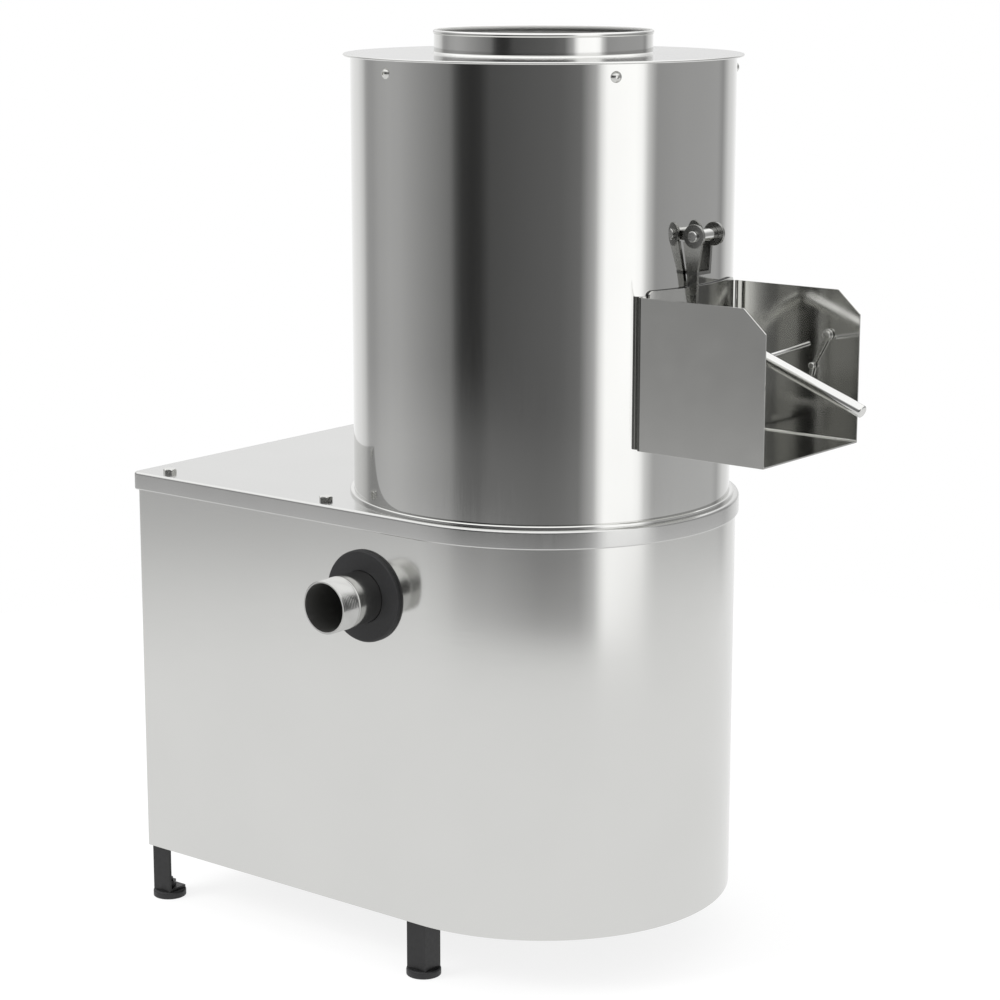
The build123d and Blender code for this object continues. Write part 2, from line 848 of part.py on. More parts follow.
def make_catch_lever():
    """Flat lever with an eye, a knuckle and a tail that turns aside below it."""
    arm = make_face(Polyline(
        (0, -catch_half_width),
        (catch_span, -catch_tip_half_width),
        (catch_span, catch_tip_half_width),
        (0, catch_half_width),
        close=True))
    eye = extrude(Circle(catch_eye_radius), catch_wall)
    tail = Box(catch_tail, 2 * catch_tip_half_width, catch_wall,
               align=(Align.MIN, Align.CENTER, Align.MIN))
    knuckle = rod(catch_knuckle_radius, 0, catch_knuckle_height)
    end = knuckle + tail + Pos(catch_tail) * rod(catch_tip_half_width, 0, catch_wall)
    lever = eye + extrude(arm, catch_wall)
    lever += Pos(catch_span) * Rot(0, 0, catch_tail_turn) * end
    lever -= rod(catch_bolt_radius + run_fit, 0, catch_wall)
    return catch_frame() * (Pos(0, 0, catch_gap) * lever)


def make_catch_bolt():
    """Shoulder bolt through the far wall with its collar, head and nut."""
    high = catch_gap + catch_wall + slip_fit
    head = extrude(Circle(catch_bolt_head_radius), catch_bolt_head_height)
    head = fillet(head.edges().group_by(Axis.Z)[-1], catch_bolt_head_height / 3)
    bolt = Pos(0, 0, high) * head
    bolt += rod(catch_bolt_shoulder_radius, 0, catch_gap - slip_fit)
    bolt += rod(catch_bolt_radius, -chute_sheet - catch_nut_height, high)
    nut = hexagon(catch_nut_flat, catch_nut_height)
    bolt += Pos(0, 0, -chute_sheet - catch_nut_height) * nut
    return catch_frame() * bolt


def drill_for_catch(wall):
    """Far wall of the chute with the hole for the catch bolt."""
    return wall - catch_frame() * rod(catch_bolt_radius + slip_fit, -overrun, overrun)


# Door

def make_door_gasket():
    frame = wall_patch(gasket_radius, gasket_face, port_half_width + gasket_width,
                       door_low, door_high, door_corner)
    return frame - port_cutter(0)


def make_door_panel():
    return wall_patch(door_radius, door_face, door_half_width, door_low, door_high,
                      door_corner)


def make_hinge_bracket():
    """Barrel for the hinge bolt on a web that is welded to the drum."""
    length = hinge_barrel_length
    start = Plane(origin=(0, hinge_y - length / 2, 0), x_dir=(1, 0, 0), z_dir=(0, -1, 0))
    web = make_face(Polyline(
        (hinge_x, hinge_z + hinge_web_half_height),
        (0, hinge_z + hinge_barrel_radius),
        (0, hinge_z - hinge_barrel_radius),
        (hinge_x, hinge_z - hinge_web_half_height),
        close=True))
    block = extrude(start * web, -length)
    barrel = Pos(hinge_x, hinge_y + length / 2, hinge_z) * to_drain_side(
        extrude(Circle(hinge_barrel_radius), length))
    bracket = block + barrel
    bracket -= rod(drum_radius + slip_fit, 0, neck_top)
    return bracket - hinge_line(hinge_bolt_radius + run_fit, length + 2 * overrun)


def hinge_line(radius, length):
    """Round bar on the hinge axis, centred on the barrel."""
    return Pos(hinge_x, hinge_y, hinge_z) * to_drain_side(Cylinder(radius, length))


def handle_frame():
    """Frame of the handle: origin at its root, +X along it and +Z square above it."""
    return Plane(origin=(handle_root_x, arm_y, handle_root_z),
                 x_dir=(cos(handle_slope), 0, -sin(handle_slope)),
                 z_dir=(sin(handle_slope), 0, cos(handle_slope)))


def bar_section(back, front, low_y, wall, z):
    """Level slice through a flat bar that stands upright."""
    return Pos((back + front) / 2, low_y + wall / 2, z) * Rectangle(front - back, wall)


def make_cheek(side, front):
    """Flat bar with an eye on the hinge bolt, its foot leaning in toward the rib."""
    face = side * (hinge_barrel_length / 2 + air_gap)
    low_y = hinge_y + min(face, face + side * cheek_wall)
    back = drum_radius + cheek_back_gap
    eye = Pos(hinge_x, low_y + cheek_wall / 2, hinge_z) * to_drain_side(
        Cylinder(eye_radius, cheek_wall))
    foot_y = low_y - side * arm_neck_shift
    bar = loft([
        bar_section(back, hinge_x + front, low_y, cheek_wall, hinge_z - eye_radius / 2),
        bar_section(back, hinge_x + arm_neck_front, foot_y, cheek_wall,
                    hinge_z - arm_neck_drop)], ruled=True)
    return eye + bar


def make_door_arm():
    """Forked arm: the near cheek runs on into the rib, a bridge carries the far one."""
    back = drum_radius + cheek_back_gap
    neck = hinge_z - arm_neck_drop
    root = hinge_z - arm_root_drop
    rib_y = arm_y - arm_rib_wall / 2
    near_y = hinge_y - hinge_barrel_length / 2 - air_gap - cheek_wall + arm_neck_shift
    far_y = hinge_y + hinge_barrel_length / 2 + air_gap + cheek_wall - arm_neck_shift
    leg = loft([
        bar_section(back, hinge_x + arm_neck_front, near_y, cheek_wall, neck),
        bar_section(back, hinge_x + arm_root_front, rib_y, arm_rib_wall, root)], ruled=True)
    bridge = Pos(back, near_y, neck) * Box(
        hinge_x + arm_neck_front - back, far_y - near_y, cheek_wall,
        align=(Align.MIN, Align.MIN, Align.MAX))
    rib = Pos(back, rib_y, arm_rib_low) * Box(
        hinge_x + arm_root_front - back, arm_rib_wall, root - arm_rib_low,
        align=(Align.MIN, Align.MIN, Align.MIN))
    foot = leg + rib
    foot -= rod(door_face, arm_rib_low - overrun, door_high + air_gap)
    arm = make_cheek(-1, cheek_front) + make_cheek(1, cheek_far_front) + bridge + foot
    arm -= hinge_line(hinge_bolt_radius + slip_fit, 4 * hinge_barrel_length)
    return arm - make_handle_bar(slip_fit)


def make_handle_bar(margin):
    """Round bar of the handle, its end edge rounded, thicker by the margin."""
    bar = extrude(Circle(handle_radius + margin), handle_length)
    bar = fillet(bar.edges().group_by(Axis.Z)[-1], handle_edge)
    return handle_frame() * (Rot(0, 90, 0) * bar)


def make_door_handle():
    return make_handle_bar(0)


def make_handle_crossbar():
    """Short bar welded across the handle, toward the far wall of the chute."""
    bar = extrude(Circle(crossbar_radius), crossbar_reach)
    bar = chamfer(bar.edges().group_by(Axis.Z)[-1], crossbar_radius / 3)
    bar = Rot(crossbar_tilt - quarter_turn, 0, 0) * bar
    place = handle_frame() * Pos(crossbar_along, 0, 0)
    return Pos(place.position) * bar - make_handle_bar(0)


def make_hinge_bolt():
    """Pin through the eyes and the barrel, with a round head at each end."""
    cheek_face = hinge_barrel_length / 2 + air_gap + cheek_wall
    pin = Cylinder(hinge_bolt_radius, 2 * cheek_face)
    head = extrude(Circle(hinge_bolt_head_radius), hinge_bolt_head)
    head = chamfer(head.edges().group_by(Axis.Z)[-1], hinge_bolt_head / 4)
    near = Pos(0, 0, cheek_face) * head
    bolt = pin + near + mirror(near, about=Plane.XY)
    return Pos(hinge_x, hinge_y, hinge_z) * to_drain_side(bolt)


# Drain

def make_drain_pipe():
    step = drain_reach - drain_front_length
    pipe = tube(drain_radius, drain_bore, step, drain_reach)
    pipe = chamfer(pipe.edges().group_by(Axis.Z)[-1], drain_chamfer)
    pipe += tube(drain_rear_radius, drain_bore, 0, step)
    pipe = Pos(drain_x, 0, drain_z) * to_drain_side(pipe)
    return pipe - rod(drum_bore, deck_top, cover_top)


def make_drain_grommet():
    """Rubber ring held in the housing wall by a groove round its neck."""
    bore = drain_rear_radius + slip_fit
    ring = turned([
        (bore, -sheet - grommet_lip_wall),
        (grommet_lip, -sheet - grommet_lip_wall),
        (grommet_lip, -sheet),
        (grommet_neck, -sheet),
        (grommet_neck, 0),
        (grommet_radius, 0),
        (grommet_radius, grommet_wall),
        (bore, grommet_wall)])
    outer_edge = ring.edges().group_by(Axis.Z)[-1].sort_by(SortBy.LENGTH)[-1]
    ring = fillet(outer_edge, grommet_edge)
    return Pos(drain_x, -half_width, drain_z) * to_drain_side(ring)


# Main shaft and bearings

def make_bearing_housing():
    """Flanged housing bolted under the deck, and the boss that rises through the pan."""
    seat = bearing_radius + slip_fit
    flange_low = deck_under - housing_flange_wall
    body = rod(housing_body_radius, housing_body_low, deck_under)
    body += rod(housing_flange_radius, flange_low, deck_under)
    body -= rod(housing_bore, housing_body_low, deck_under)
    body -= rod(seat, housing_body_low, housing_body_low + bearing_width)
    for place in PolarLocations(bearing_bolt_circle, bearing_bolt_count, bolt_turn):
        body -= place * rod(bearing_bolt_radius + bolt_slack, flange_low, deck_under)
    boss = tube(housing_boss_radius, housing_bore, deck_under, housing_boss_high)
    boss -= rod(seat, housing_boss_high - bearing_width, housing_boss_high)
    return [body, boss]


def make_shaft_bearings():
    """Two ball bearings, each one closed ring with sunk shields."""
    bore = shaft_radius + run_fit
    inner = bore + bearing_race
    outer = bearing_radius - bearing_race
    sink = bearing_shield
    ring = turned([
        (bore, 0), (inner, 0), (inner, sink), (outer, sink), (outer, 0),
        (bearing_radius, 0), (bearing_radius, bearing_width), (outer, bearing_width),
        (outer, bearing_width - sink), (inner, bearing_width - sink),
        (inner, bearing_width), (bore, bearing_width)])
    lows = (housing_body_low, housing_boss_high - bearing_width)
    return [Pos(0, 0, low) * ring for low in lows]


def make_bearing_bolts():
    low = deck_under - housing_flange_wall
    head = Pos(0, 0, low - bearing_bolt_head) * hexagon(bearing_bolt_flat, bearing_bolt_head)
    bolt = head + rod(bearing_bolt_radius, low, deck_top)
    return [place * bolt for place in PolarLocations(bearing_bolt_circle,
                                                     bearing_bolt_count, bolt_turn)]


def make_shaft_seal():
    """Seal on top of the bearing housing that throws water off its sloped back."""
    bore = shaft_radius + run_fit
    low = housing_boss_high
    return turned([
        (bore, low),
        (seal_radius, low),
        (seal_radius, low + seal_lip),
        (bore + seal_lip, low + seal_height),
        (bore, low + seal_height)])


def make_main_shaft():
    shaft = rod(shaft_radius, shaft_low, disc_high + disc_washer_wall)
    shaft += rod(shaft_shoulder_radius, shoulder_low, shoulder_high)
    shaft += rod(shaft_thread_radius, disc_high,
                 disc_high + disc_washer_wall + shaft_thread_length)
    return chamfer(shaft.edges().group_by(Axis.Z)[0], shoulder_gap / 2)


def ridge_face(radius, half, height):
    """Arched section of a ridge, square to the radius."""
    start = Plane(origin=(radius, 0, disc_high), x_dir=(0, 1, 0), z_dir=(1, 0, 0))
    crown = ThreePointArc((-half / 2, height * 3 / 4), (0, height), (half / 2, height * 3 / 4))
    outline = [
        Line((-half, 0), (-half / 2, height * 3 / 4)),
        crown,
        Line((half / 2, height * 3 / 4), (half, 0)),
        Line((half, 0), (half, -disc_wall / 2)),
        Line((half, -disc_wall / 2), (-half, -disc_wall / 2)),
        Line((-half, -disc_wall / 2), (-half, 0))]
    return start * make_face(outline)


def make_peeling_disc():
    """Disc with rising ridges on top, sweeping paddles below and a hub."""
    disc = rod(disc_radius, disc_low, disc_high)
    ridge = loft([ridge_face(ridge_root_radius, ridge_root_half_width, ridge_root_height),
                  ridge_face(disc_radius, ridge_tip_half_width, ridge_tip_height)])
    ridge &= rod(ridge_end_radius, disc_low, disc_high + 2 * ridge_tip_height)
    for turn in range(ridge_count):
        disc += Rot(0, 0, 360 * turn / ridge_count) * ridge
    disc += rod(hub_radius, disc_low - hub_height, disc_low)
    paddle = Pos(paddle_root, 0, disc_low - paddle_height) * Box(
        paddle_tip - paddle_root, paddle_wall, paddle_height,
        align=(Align.MIN, Align.CENTER, Align.MIN))
    for turn in range(paddle_count):
        disc += Rot(0, 0, quarter_turn + 360 * turn / paddle_count) * paddle
    return disc - rod(shaft_radius + slip_fit, disc_low - hub_height, disc_high)


def make_disc_nut():
    """Washer and domed nut that hold the disc on the shaft."""
    bore = shaft_radius + slip_fit
    washer = tube(disc_washer_radius, bore, disc_high, disc_high + disc_washer_wall)
    low = disc_high + disc_washer_wall
    nut = Pos(0, 0, low) * hexagon(disc_nut_flat, disc_nut_height)
    dome = Pos(0, 0, low + disc_nut_height) * Sphere(disc_nut_flat / 2 - slip_fit)
    limit = rod(disc_nut_flat, low, low + disc_nut_height + disc_nut_dome)
    nut += dome & limit
    nut -= rod(shaft_thread_radius + slip_fit, low, low + shaft_thread_length + slip_fit)
    return washer + nut


# Belt drive

def groove_half_width(depth):
    """Half the belt's width at a depth below its outer face."""
    return belt_top_width / 2 - depth * tan(radians(belt_flank_angle))


def grooved_wheel(pitch_radius):
    """Pulley blank with a groove that clears the belt on both flanks and below."""
    outer = pitch_radius + belt_pitch_depth
    gap = air_gap / cos(radians(belt_flank_angle))
    floor_depth = belt_height + groove_floor_gap
    top = groove_half_width(0) + gap
    low = groove_half_width(floor_depth) + gap
    half = pulley_width / 2
    wheel = Pos(0, 0, pulley_mid) * turned([
        (0, -half), (outer, -half), (outer, -top), (outer - floor_depth, -low),
        (outer - floor_depth, low), (outer, top), (outer, half), (0, half)])
    return wheel


def make_driven_pulley():
    wheel = grooved_wheel(driven_pitch_radius)
    rim = driven_pitch_radius + belt_pitch_depth - belt_height - driven_rim_wall
    pocket = (pulley_width - driven_web_wall) / 2
    for low in (pulley_low, pulley_low + pulley_width - pocket):
        wheel -= tube(rim, driven_hub_radius, low, low + pocket)
    wheel += rod(driven_hub_radius, pulley_low, pulley_low + driven_hub_height)
    for place in PolarLocations(web_hole_circle, web_hole_count):
        wheel -= place * rod(web_hole_radius, pulley_low, pulley_low + pulley_width)
    return wheel - rod(shaft_radius + slip_fit, pulley_low, pulley_low + driven_hub_height)


def make_drive_pulley():
    wheel = grooved_wheel(drive_pitch_radius)
    top = pulley_low + pulley_width + drive_hub_height
    wheel += rod(drive_hub_radius, pulley_low + pulley_width, top)
    wheel -= rod(motor_shaft_radius + slip_fit, pulley_low, top)
    return Pos(motor_x) * wheel


def make_v_belt():
    """Closed loop of V section round both pulleys."""
    reach = -motor_x
    lean = asin((driven_pitch_radius - drive_pitch_radius) / reach)
    big = driven_pitch_radius
    small = drive_pitch_radius
    big_point = (-big * sin(lean), big * cos(lean))
    small_point = (motor_x - small * sin(lean), small * cos(lean))
    big_arc = ThreePointArc((big_point[0], -big_point[1]), (big, 0), big_point)
    upper = Line(big_point, small_point)
    small_arc = ThreePointArc(small_point, (motor_x - small, 0),
                              (small_point[0], -small_point[1]))
    lower = Line((small_point[0], -small_point[1]), (big_point[0], -big_point[1]))
    path = Pos(0, 0, pulley_mid) * Wire([big_arc, upper, small_arc, lower])
    outer_half = groove_half_width(0)
    inner_half = groove_half_width(belt_height)
    inside = belt_height - belt_pitch_depth
    start = Plane(origin=(big_point[0], -big_point[1], pulley_mid),
                  x_dir=(-sin(lean), -cos(lean), 0), z_dir=(cos(lean), -sin(lean), 0))
    section = start * make_face(Polyline(
        (belt_pitch_depth, -outer_half), (belt_pitch_depth, outer_half),
        (-inside, inner_half), (-inside, -inner_half), close=True))
    return sweep(section, path=path)


# Motor

def at_motor(shape):
    return Pos(motor_x) * shape


def motor_bolt_places():
    return [at_motor(place) for place in PolarLocations(motor_bolt_circle,
                                                        motor_bolt_count, bolt_turn)]


def make_motor_plate():
    """Plate across the motor rails, slotted so that the belt can be tightened."""
    plate = Pos(motor_x, 0, motor_rail_top) * Box(
        2 * motor_plate_margin, 2 * motor_plate_reach, motor_plate_wall,
        align=(Align.CENTER, Align.CENTER, Align.MIN))
    room = drive_hub_radius + motor_slot_travel
    plate -= at_motor(rod(room, motor_rail_top, motor_plate_top))
    slot = extrude(SlotCenterToCenter(motor_slot_travel,
                                      2 * (motor_bolt_radius + bolt_slack)), motor_plate_wall)
    for place in motor_bolt_places():
        spot = place.position
        plate -= Pos(spot.X, spot.Y, motor_rail_top) * slot
    return plate


def make_motor_flange():
    """Lower end bell with the mounting flange."""
    low = motor_plate_top
    bore = motor_shaft_radius + run_fit
    bell = turned([
        (bore, low),
        (motor_flange_radius, low),
        (motor_flange_radius, low + motor_flange_wall),
        (motor_shell_radius, low + motor_flange_wall),
        (motor_shell_radius, motor_shell_low),
        (bore, motor_shell_low)])
    bell = at_motor(bell)
    for place in motor_bolt_places():
        bell -= place * rod(motor_bolt_radius + bolt_slack, low, low + motor_flange_wall)
    return bell


def make_motor_bolts():
    flange_top = motor_plate_top + motor_flange_wall
    head = Pos(0, 0, flange_top) * hexagon(motor_bolt_flat, motor_bolt_head)
    nut = Pos(0, 0, motor_rail_top - motor_bolt_head) * hexagon(motor_bolt_flat,
                                                               motor_bolt_head)
    shank = rod(motor_bolt_radius, motor_rail_top - 2 * motor_bolt_head, flange_top)
    bolt = head + nut + shank
    return [place * bolt for place in motor_bolt_places()]


def make_motor_shell():
    """Finned barrel of the motor."""
    shell = tube(motor_shell_radius, motor_shell_radius - motor_shell_wall,
                 motor_shell_low, motor_shell_high)
    fin = Pos(motor_shell_radius - motor_shell_wall / 2, 0, motor_shell_low) * Box(
        fin_height + motor_shell_wall / 2, fin_wall, motor_shell_height,
        align=(Align.MIN, Align.CENTER, Align.MIN))
    fins = [Rot(0, 0, 360 * turn / fin_count) * fin for turn in range(fin_count)]
    face_x = terminal_box_width / 2
    shell += fins
    shell -= Pos(0, -motor_shell_radius, motor_shell_low) * Box(
        2 * face_x, 2 * fin_height, motor_shell_height,
        align=(Align.CENTER, Align.MAX, Align.MIN))
    return at_motor(shell)


def make_motor_stator():
    outer = motor_shell_radius - motor_shell_wall - slip_fit
    middle = (motor_shell_low + motor_shell_high) / 2
    half = stator_height / 2
    return at_motor(tube(outer, stator_bore, middle - half, middle + half))


def make_fan_cover():
    """Fan cover with a ring of straight vents in its top."""
    low = motor_shell_high
    high = low + fan_cover_height
    outer = motor_shell_radius + fin_height / 2
    cover = turned([
        (outer - fan_cover_wall, low),
        (outer, low),
        (outer, high - cover_bend),
        (outer - cover_bend, high),
        (0, high),
        (0, high - fan_cover_wall),
        (outer - cover_bend - fan_cover_wall, high - fan_cover_wall),
        (outer - fan_cover_wall, high - cover_bend - fan_cover_wall)])
    slot = extrude(SlotOverall(fan_vent_length, fan_vent_width), 2 * fan_cover_wall)
    for place in PolarLocations(fan_vent_circle, fan_vent_count):
        cover -= Pos(0, 0, high - fan_cover_wall) * place * slot
    return at_motor(cover)


def make_motor_bell():
    """Upper end bell that closes the barrel below the fan."""
    bore = motor_shaft_radius + run_fit
    low = motor_shell_high - motor_shell_wall
    rim = motor_shell_radius - motor_shell_wall - slip_fit
    return at_motor(tube(rim, bore, low, motor_shell_high))


def make_terminal_box():
    """Terminal box on the flat side of the motor barrel."""
    middle = (motor_shell_low + motor_shell_high) / 2
    front = -motor_shell_radius - terminal_box_depth
    box = Box(terminal_box_width, terminal_box_depth, terminal_box_height,
              align=(Align.CENTER, Align.MIN, Align.CENTER))
    box = fillet(box.edges().filter_by(Axis.Y), terminal_box_corner)
    lid = Box(terminal_box_width + terminal_lid_wall, terminal_lid_wall,
              terminal_box_height + terminal_lid_wall,
              align=(Align.CENTER, Align.MAX, Align.CENTER))
    lid = fillet(lid.edges().filter_by(Axis.Y), terminal_box_corner)
    box = Pos(0, front, middle) * (box + lid)
    return at_motor(box)


def make_motor_shaft():
    """Motor shaft with its rotor core."""
    top = motor_shell_high + fan_lift + fan_blade_height
    middle = (motor_shell_low + motor_shell_high) / 2
    half = rotor_height / 2
    shaft = rod(motor_shaft_radius, motor_shaft_low, top)
    shaft = chamfer(shaft.edges().group_by(Axis.Z)[0], shoulder_gap / 2)
    return at_motor(shaft + rod(rotor_radius, middle - half, middle + half))


def make_motor_fan():
    low = motor_shell_high + fan_lift
    fan = rod(fan_hub_radius, low, low + fan_blade_height)
    blade = Pos(fan_hub_radius - fan_blade_wall, 0, low) * Box(
        fan_radius - fan_hub_radius, fan_blade_wall, fan_blade_height,
        align=(Align.MIN, Align.CENTER, Align.MIN))
    for turn in range(fan_blade_count):
        fan += Rot(0, 0, 360 * turn / fan_blade_count) * blade
    fan += rod(fan_radius - fan_blade_wall, low, low + fan_blade_wall)
    fan -= rod(motor_shaft_radius + slip_fit, low, low + fan_blade_height)
    return at_motor(fan)


# All pieces, drain side named near, other side far

def legs_and_feet():
    """Four legs, and their rubber feet and bolts as groups."""
    spots = {"rear": (rear_leg_x, 1, cover_under), "front": (front_leg_x, -1, deck_under)}
    legs = {}
    feet = []
    bolts = []
    for name, (corner_x, toward, top) in spots.items():
        for side, leg in zip(("near", "far"), both_sides(make_leg(corner_x, toward, top))):
            for place in panel_screw_places():
                leg -= Pos(place) * to_back(rod(panel_screw_radius + slip_fit,
                                                -panel_screw_length - overrun, 0))
            legs["leg_" + name + "_" + side] = leg
        feet += both_sides(make_foot(corner_x, toward))
        bolts += both_sides(make_foot_bolt(corner_x, toward))
    legs["rubber_feet"] = feet
    legs["foot_bolts"] = bolts
    return legs


def all_pieces():
    pieces = {
        "housing_wrap": make_housing_wrap(),
        "rear_panel": make_rear_panel(),
        "rear_panel_screws": make_panel_screws(),
        "cable_gland": make_cable_gland(),
        "top_cover": make_top_cover(),
        "cover_bolts": make_cover_bolts(),
        "top_rails": make_top_rails(),
        "deck_rails": make_deck_rails(),
        "motor_rails": make_motor_rails(),
        "crossbars": make_crossbars(),
        "bearing_deck": make_bearing_deck(),
        "drum_shell": make_drum_shell(),
        "drum_sump": make_drum_sump(),
        "drum_foot_ring": make_drum_foot_ring(),
        "drum_pan": make_drum_pan(),
        "liner_ring": make_liner_ring(),
        "abrasive_liner": make_abrasive_liner(),
        "drum_lid": make_drum_lid(),
        "feed_neck": make_feed_neck(),
        "lid_screws": make_lid_screws(),
        "chute_floor": make_chute_floor(),
        "catch_bolt": make_catch_bolt(),
        "catch_lever": make_catch_lever(),
        "door_gasket": make_door_gasket(),
        "hinge_bracket": make_hinge_bracket(),
        "drain_pipe": make_drain_pipe(),
        "drain_grommet": make_drain_grommet(),
        "bearing_housing": make_bearing_housing(),
        "shaft_bearings": make_shaft_bearings(),
        "bearing_bolts": make_bearing_bolts(),
        "shaft_seal": make_shaft_seal(),
        "v_belt": make_v_belt(),
        "motor_plate": make_motor_plate(),
        "motor_flange": make_motor_flange(),
        "motor_bolts": make_motor_bolts(),
        "motor_shell": make_motor_shell(),
        "motor_stator": make_motor_stator(),
        "motor_bell": make_motor_bell(),
        "fan_cover": make_fan_cover(),
        "terminal_box": make_terminal_box(),
        "door_panel": make_door_panel(),
        "door_arm": make_door_arm(),
        "door_handle": make_door_handle(),
        "handle_crossbar": make_handle_crossbar(),
        "hinge_bolt": make_hinge_bolt(),
        "main_shaft": make_main_shaft(),
        "peeling_disc": make_peeling_disc(),
        "disc_nut": make_disc_nut(),
        "driven_pulley": make_driven_pulley(),
        "motor_shaft": make_motor_shaft(),
        "drive_pulley": make_drive_pulley(),
        "motor_fan": make_motor_fan(),
    }
    near, far = both_sides(make_chute_side())
    pieces["chute_side_near"] = near
    pieces["chute_side_far"] = drill_for_catch(far)
    pieces.update(legs_and_feet())
    return pieces


def to_origin():
    """Shift that puts the middle of the bounding box over the origin."""
    low_x = -back_reach - gland_nut_height - gland_dome_height
    low_y = -drain_reach
    high_y = half_width + cover_overhang
    return Pos(-(low_x + handle_end_x) / 2, -(low_y + high_y) / 2, 0)


def main():
    os.makedirs("parts", exist_ok=True)
    place = to_origin()
    for name, piece in all_pieces().items():
        solids = piece if isinstance(piece, list) else [piece]
        shapes = [solid for item in solids for solid in (place * item).solids()]
        body = shapes[0] if len(shapes) == 1 else Compound(shapes)
        export_step(body, os.path.join("parts", name + ".step"))
        print(name, len(shapes))


main()
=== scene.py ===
from math import asin, atan2, cos, degrees, pi, radians, sin, sqrt, tan

import bmesh
import bpy
from mathutils import Matrix, Vector


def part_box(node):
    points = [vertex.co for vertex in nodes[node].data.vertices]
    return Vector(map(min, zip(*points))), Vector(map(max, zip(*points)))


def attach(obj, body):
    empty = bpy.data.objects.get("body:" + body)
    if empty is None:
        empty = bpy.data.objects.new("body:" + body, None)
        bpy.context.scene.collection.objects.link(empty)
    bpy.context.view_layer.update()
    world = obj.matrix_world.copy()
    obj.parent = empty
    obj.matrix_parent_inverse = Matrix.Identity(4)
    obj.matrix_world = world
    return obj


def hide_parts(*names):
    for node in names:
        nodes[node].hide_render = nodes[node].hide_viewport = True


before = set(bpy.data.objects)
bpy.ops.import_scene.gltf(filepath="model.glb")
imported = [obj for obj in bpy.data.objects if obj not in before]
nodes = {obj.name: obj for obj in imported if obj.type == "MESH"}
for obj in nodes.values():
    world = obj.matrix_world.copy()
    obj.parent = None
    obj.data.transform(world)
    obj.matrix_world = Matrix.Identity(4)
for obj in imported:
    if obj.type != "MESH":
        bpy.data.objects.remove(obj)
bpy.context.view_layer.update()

# Units: millimetres on the drum's axis, as in the part's source, to metres in the frame
MM = 0.001
CHUTE_REACH = 334.0


def span(node, axis):
    """Lowest and highest place of a node along one axis of the frame, in millimetres."""
    low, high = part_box(node)
    return round(low[axis] / MM, 3), round(high[axis] / MM, 3)


SHIFT = Vector((span("chute_floor", 0)[1] - CHUTE_REACH, sum(span("housing_wrap", 1)) / 2, 0.0))


def place(x, y, z):
    return (Vector((x, y, z)) + SHIFT) * MM


# Sizes that the pieces share
SHEET = 1.5
# Room round a turning bolt, between pieces that touch, and beside a moving piece
RUN, SLIP, GAP = 0.05, 0.1, 0.4
# How far one form is sunk into the form that it is joined to
SUNK = 0.4
# How far a cutter runs past what it cuts
OVERRUN = 30.0
EDGE, FINE_EDGE = 0.5, 0.2
DRUM = 200.0
DRUM_WALL = 2.0
SEAT = DRUM + SLIP
HALF = 207.0
BACK = 405.0
BEND = 5.0
COVER = span("top_cover", 2)[1]
DRUM_TOP = span("drum_lid", 2)[1]
SUMP_LOW = span("drum_sump", 2)[0]
DRAIN_X = -71.0
DRAIN_Z = 404.0
DRAIN_R = 27.4
DRAIN_BORE = 25.5
GROMMET_NECK = 38.0
NECK = 113.5


def spread(first, last, count):
    """Evenly spaced values with both ends."""
    return [first + (last - first) * i / count for i in range(count + 1)]


def quarter(radius, count):
    """Steps across and down a rounded edge, from its upright side to its flat top."""
    return [(radius * (1 - cos(a)), radius * (1 - sin(a))) for a in spread(0, pi / 2, count)]


# Materials

def node_material(name):
    mat = bpy.data.materials.new(name)
    mat.use_nodes = True
    tree = mat.node_tree
    tree.nodes.clear()
    out = tree.nodes.new("ShaderNodeOutputMaterial")
    shader = tree.nodes.new("ShaderNodeBsdfPrincipled")
    tree.links.new(shader.outputs[0], out.inputs[0])
    return mat, tree, shader


def add(tree, kind, **settings):
    node = tree.nodes.new(kind)
    for key, value in settings.items():
        setattr(node, key, value)
    return node


def coordinates(tree, stretch=(1, 1, 1)):
    """Object coordinates in metres, stretched for brushing or streaks."""
    coord = tree.nodes.new("ShaderNodeTexCoord")
    mapping = tree.nodes.new("ShaderNodeMapping")
    mapping.inputs["Scale"].default_value = stretch
    tree.links.new(coord.outputs["Object"], mapping.inputs["Vector"])
    return mapping.outputs[0]


def noise(tree, vector, scale, detail, rough):
    node = tree.nodes.new("ShaderNodeTexNoise")
    node.inputs["Scale"].default_value = scale
    node.inputs["Detail"].default_value = detail
    node.inputs["Roughness"].default_value = rough
    tree.links.new(vector, node.inputs["Vector"])
    return node.outputs["Fac"]


def ramp(tree, source, stops):
    node = tree.nodes.new("ShaderNodeValToRGB")
    tree.links.new(source, node.inputs[0])
    band = node.color_ramp
    while len(band.elements) < len(stops):
        band.elements.new(0.5)
    for element, (pos, value) in zip(band.elements, stops):
        element.position = pos
        colour = value if isinstance(value, tuple) else (value,) * 3
        element.color = (*colour, 1.0)
    return node.outputs[0]


def mixed(tree, share, first, second):
    """Mix of two colours; the second may be a plain value."""
    node = add(tree, "ShaderNodeMix", data_type="RGBA")
    tree.links.new(share, node.inputs[0])
    tree.links.new(first, node.inputs[6])
    if isinstance(second, tuple):
        node.inputs[7].default_value = second
    else:
        tree.links.new(second, node.inputs[7])
    return node.outputs[2]


def bump(tree, shader, height, strength, distance):
    node = tree.nodes.new("ShaderNodeBump")
    node.inputs["Strength"].default_value = strength
    node.inputs["Distance"].default_value = distance
    tree.links.new(height, node.inputs["Height"])
    previous = shader.inputs["Normal"].links
    if previous:
        tree.links.new(previous[0].from_socket, node.inputs["Normal"])
    tree.links.new(node.outputs[0], shader.inputs["Normal"])


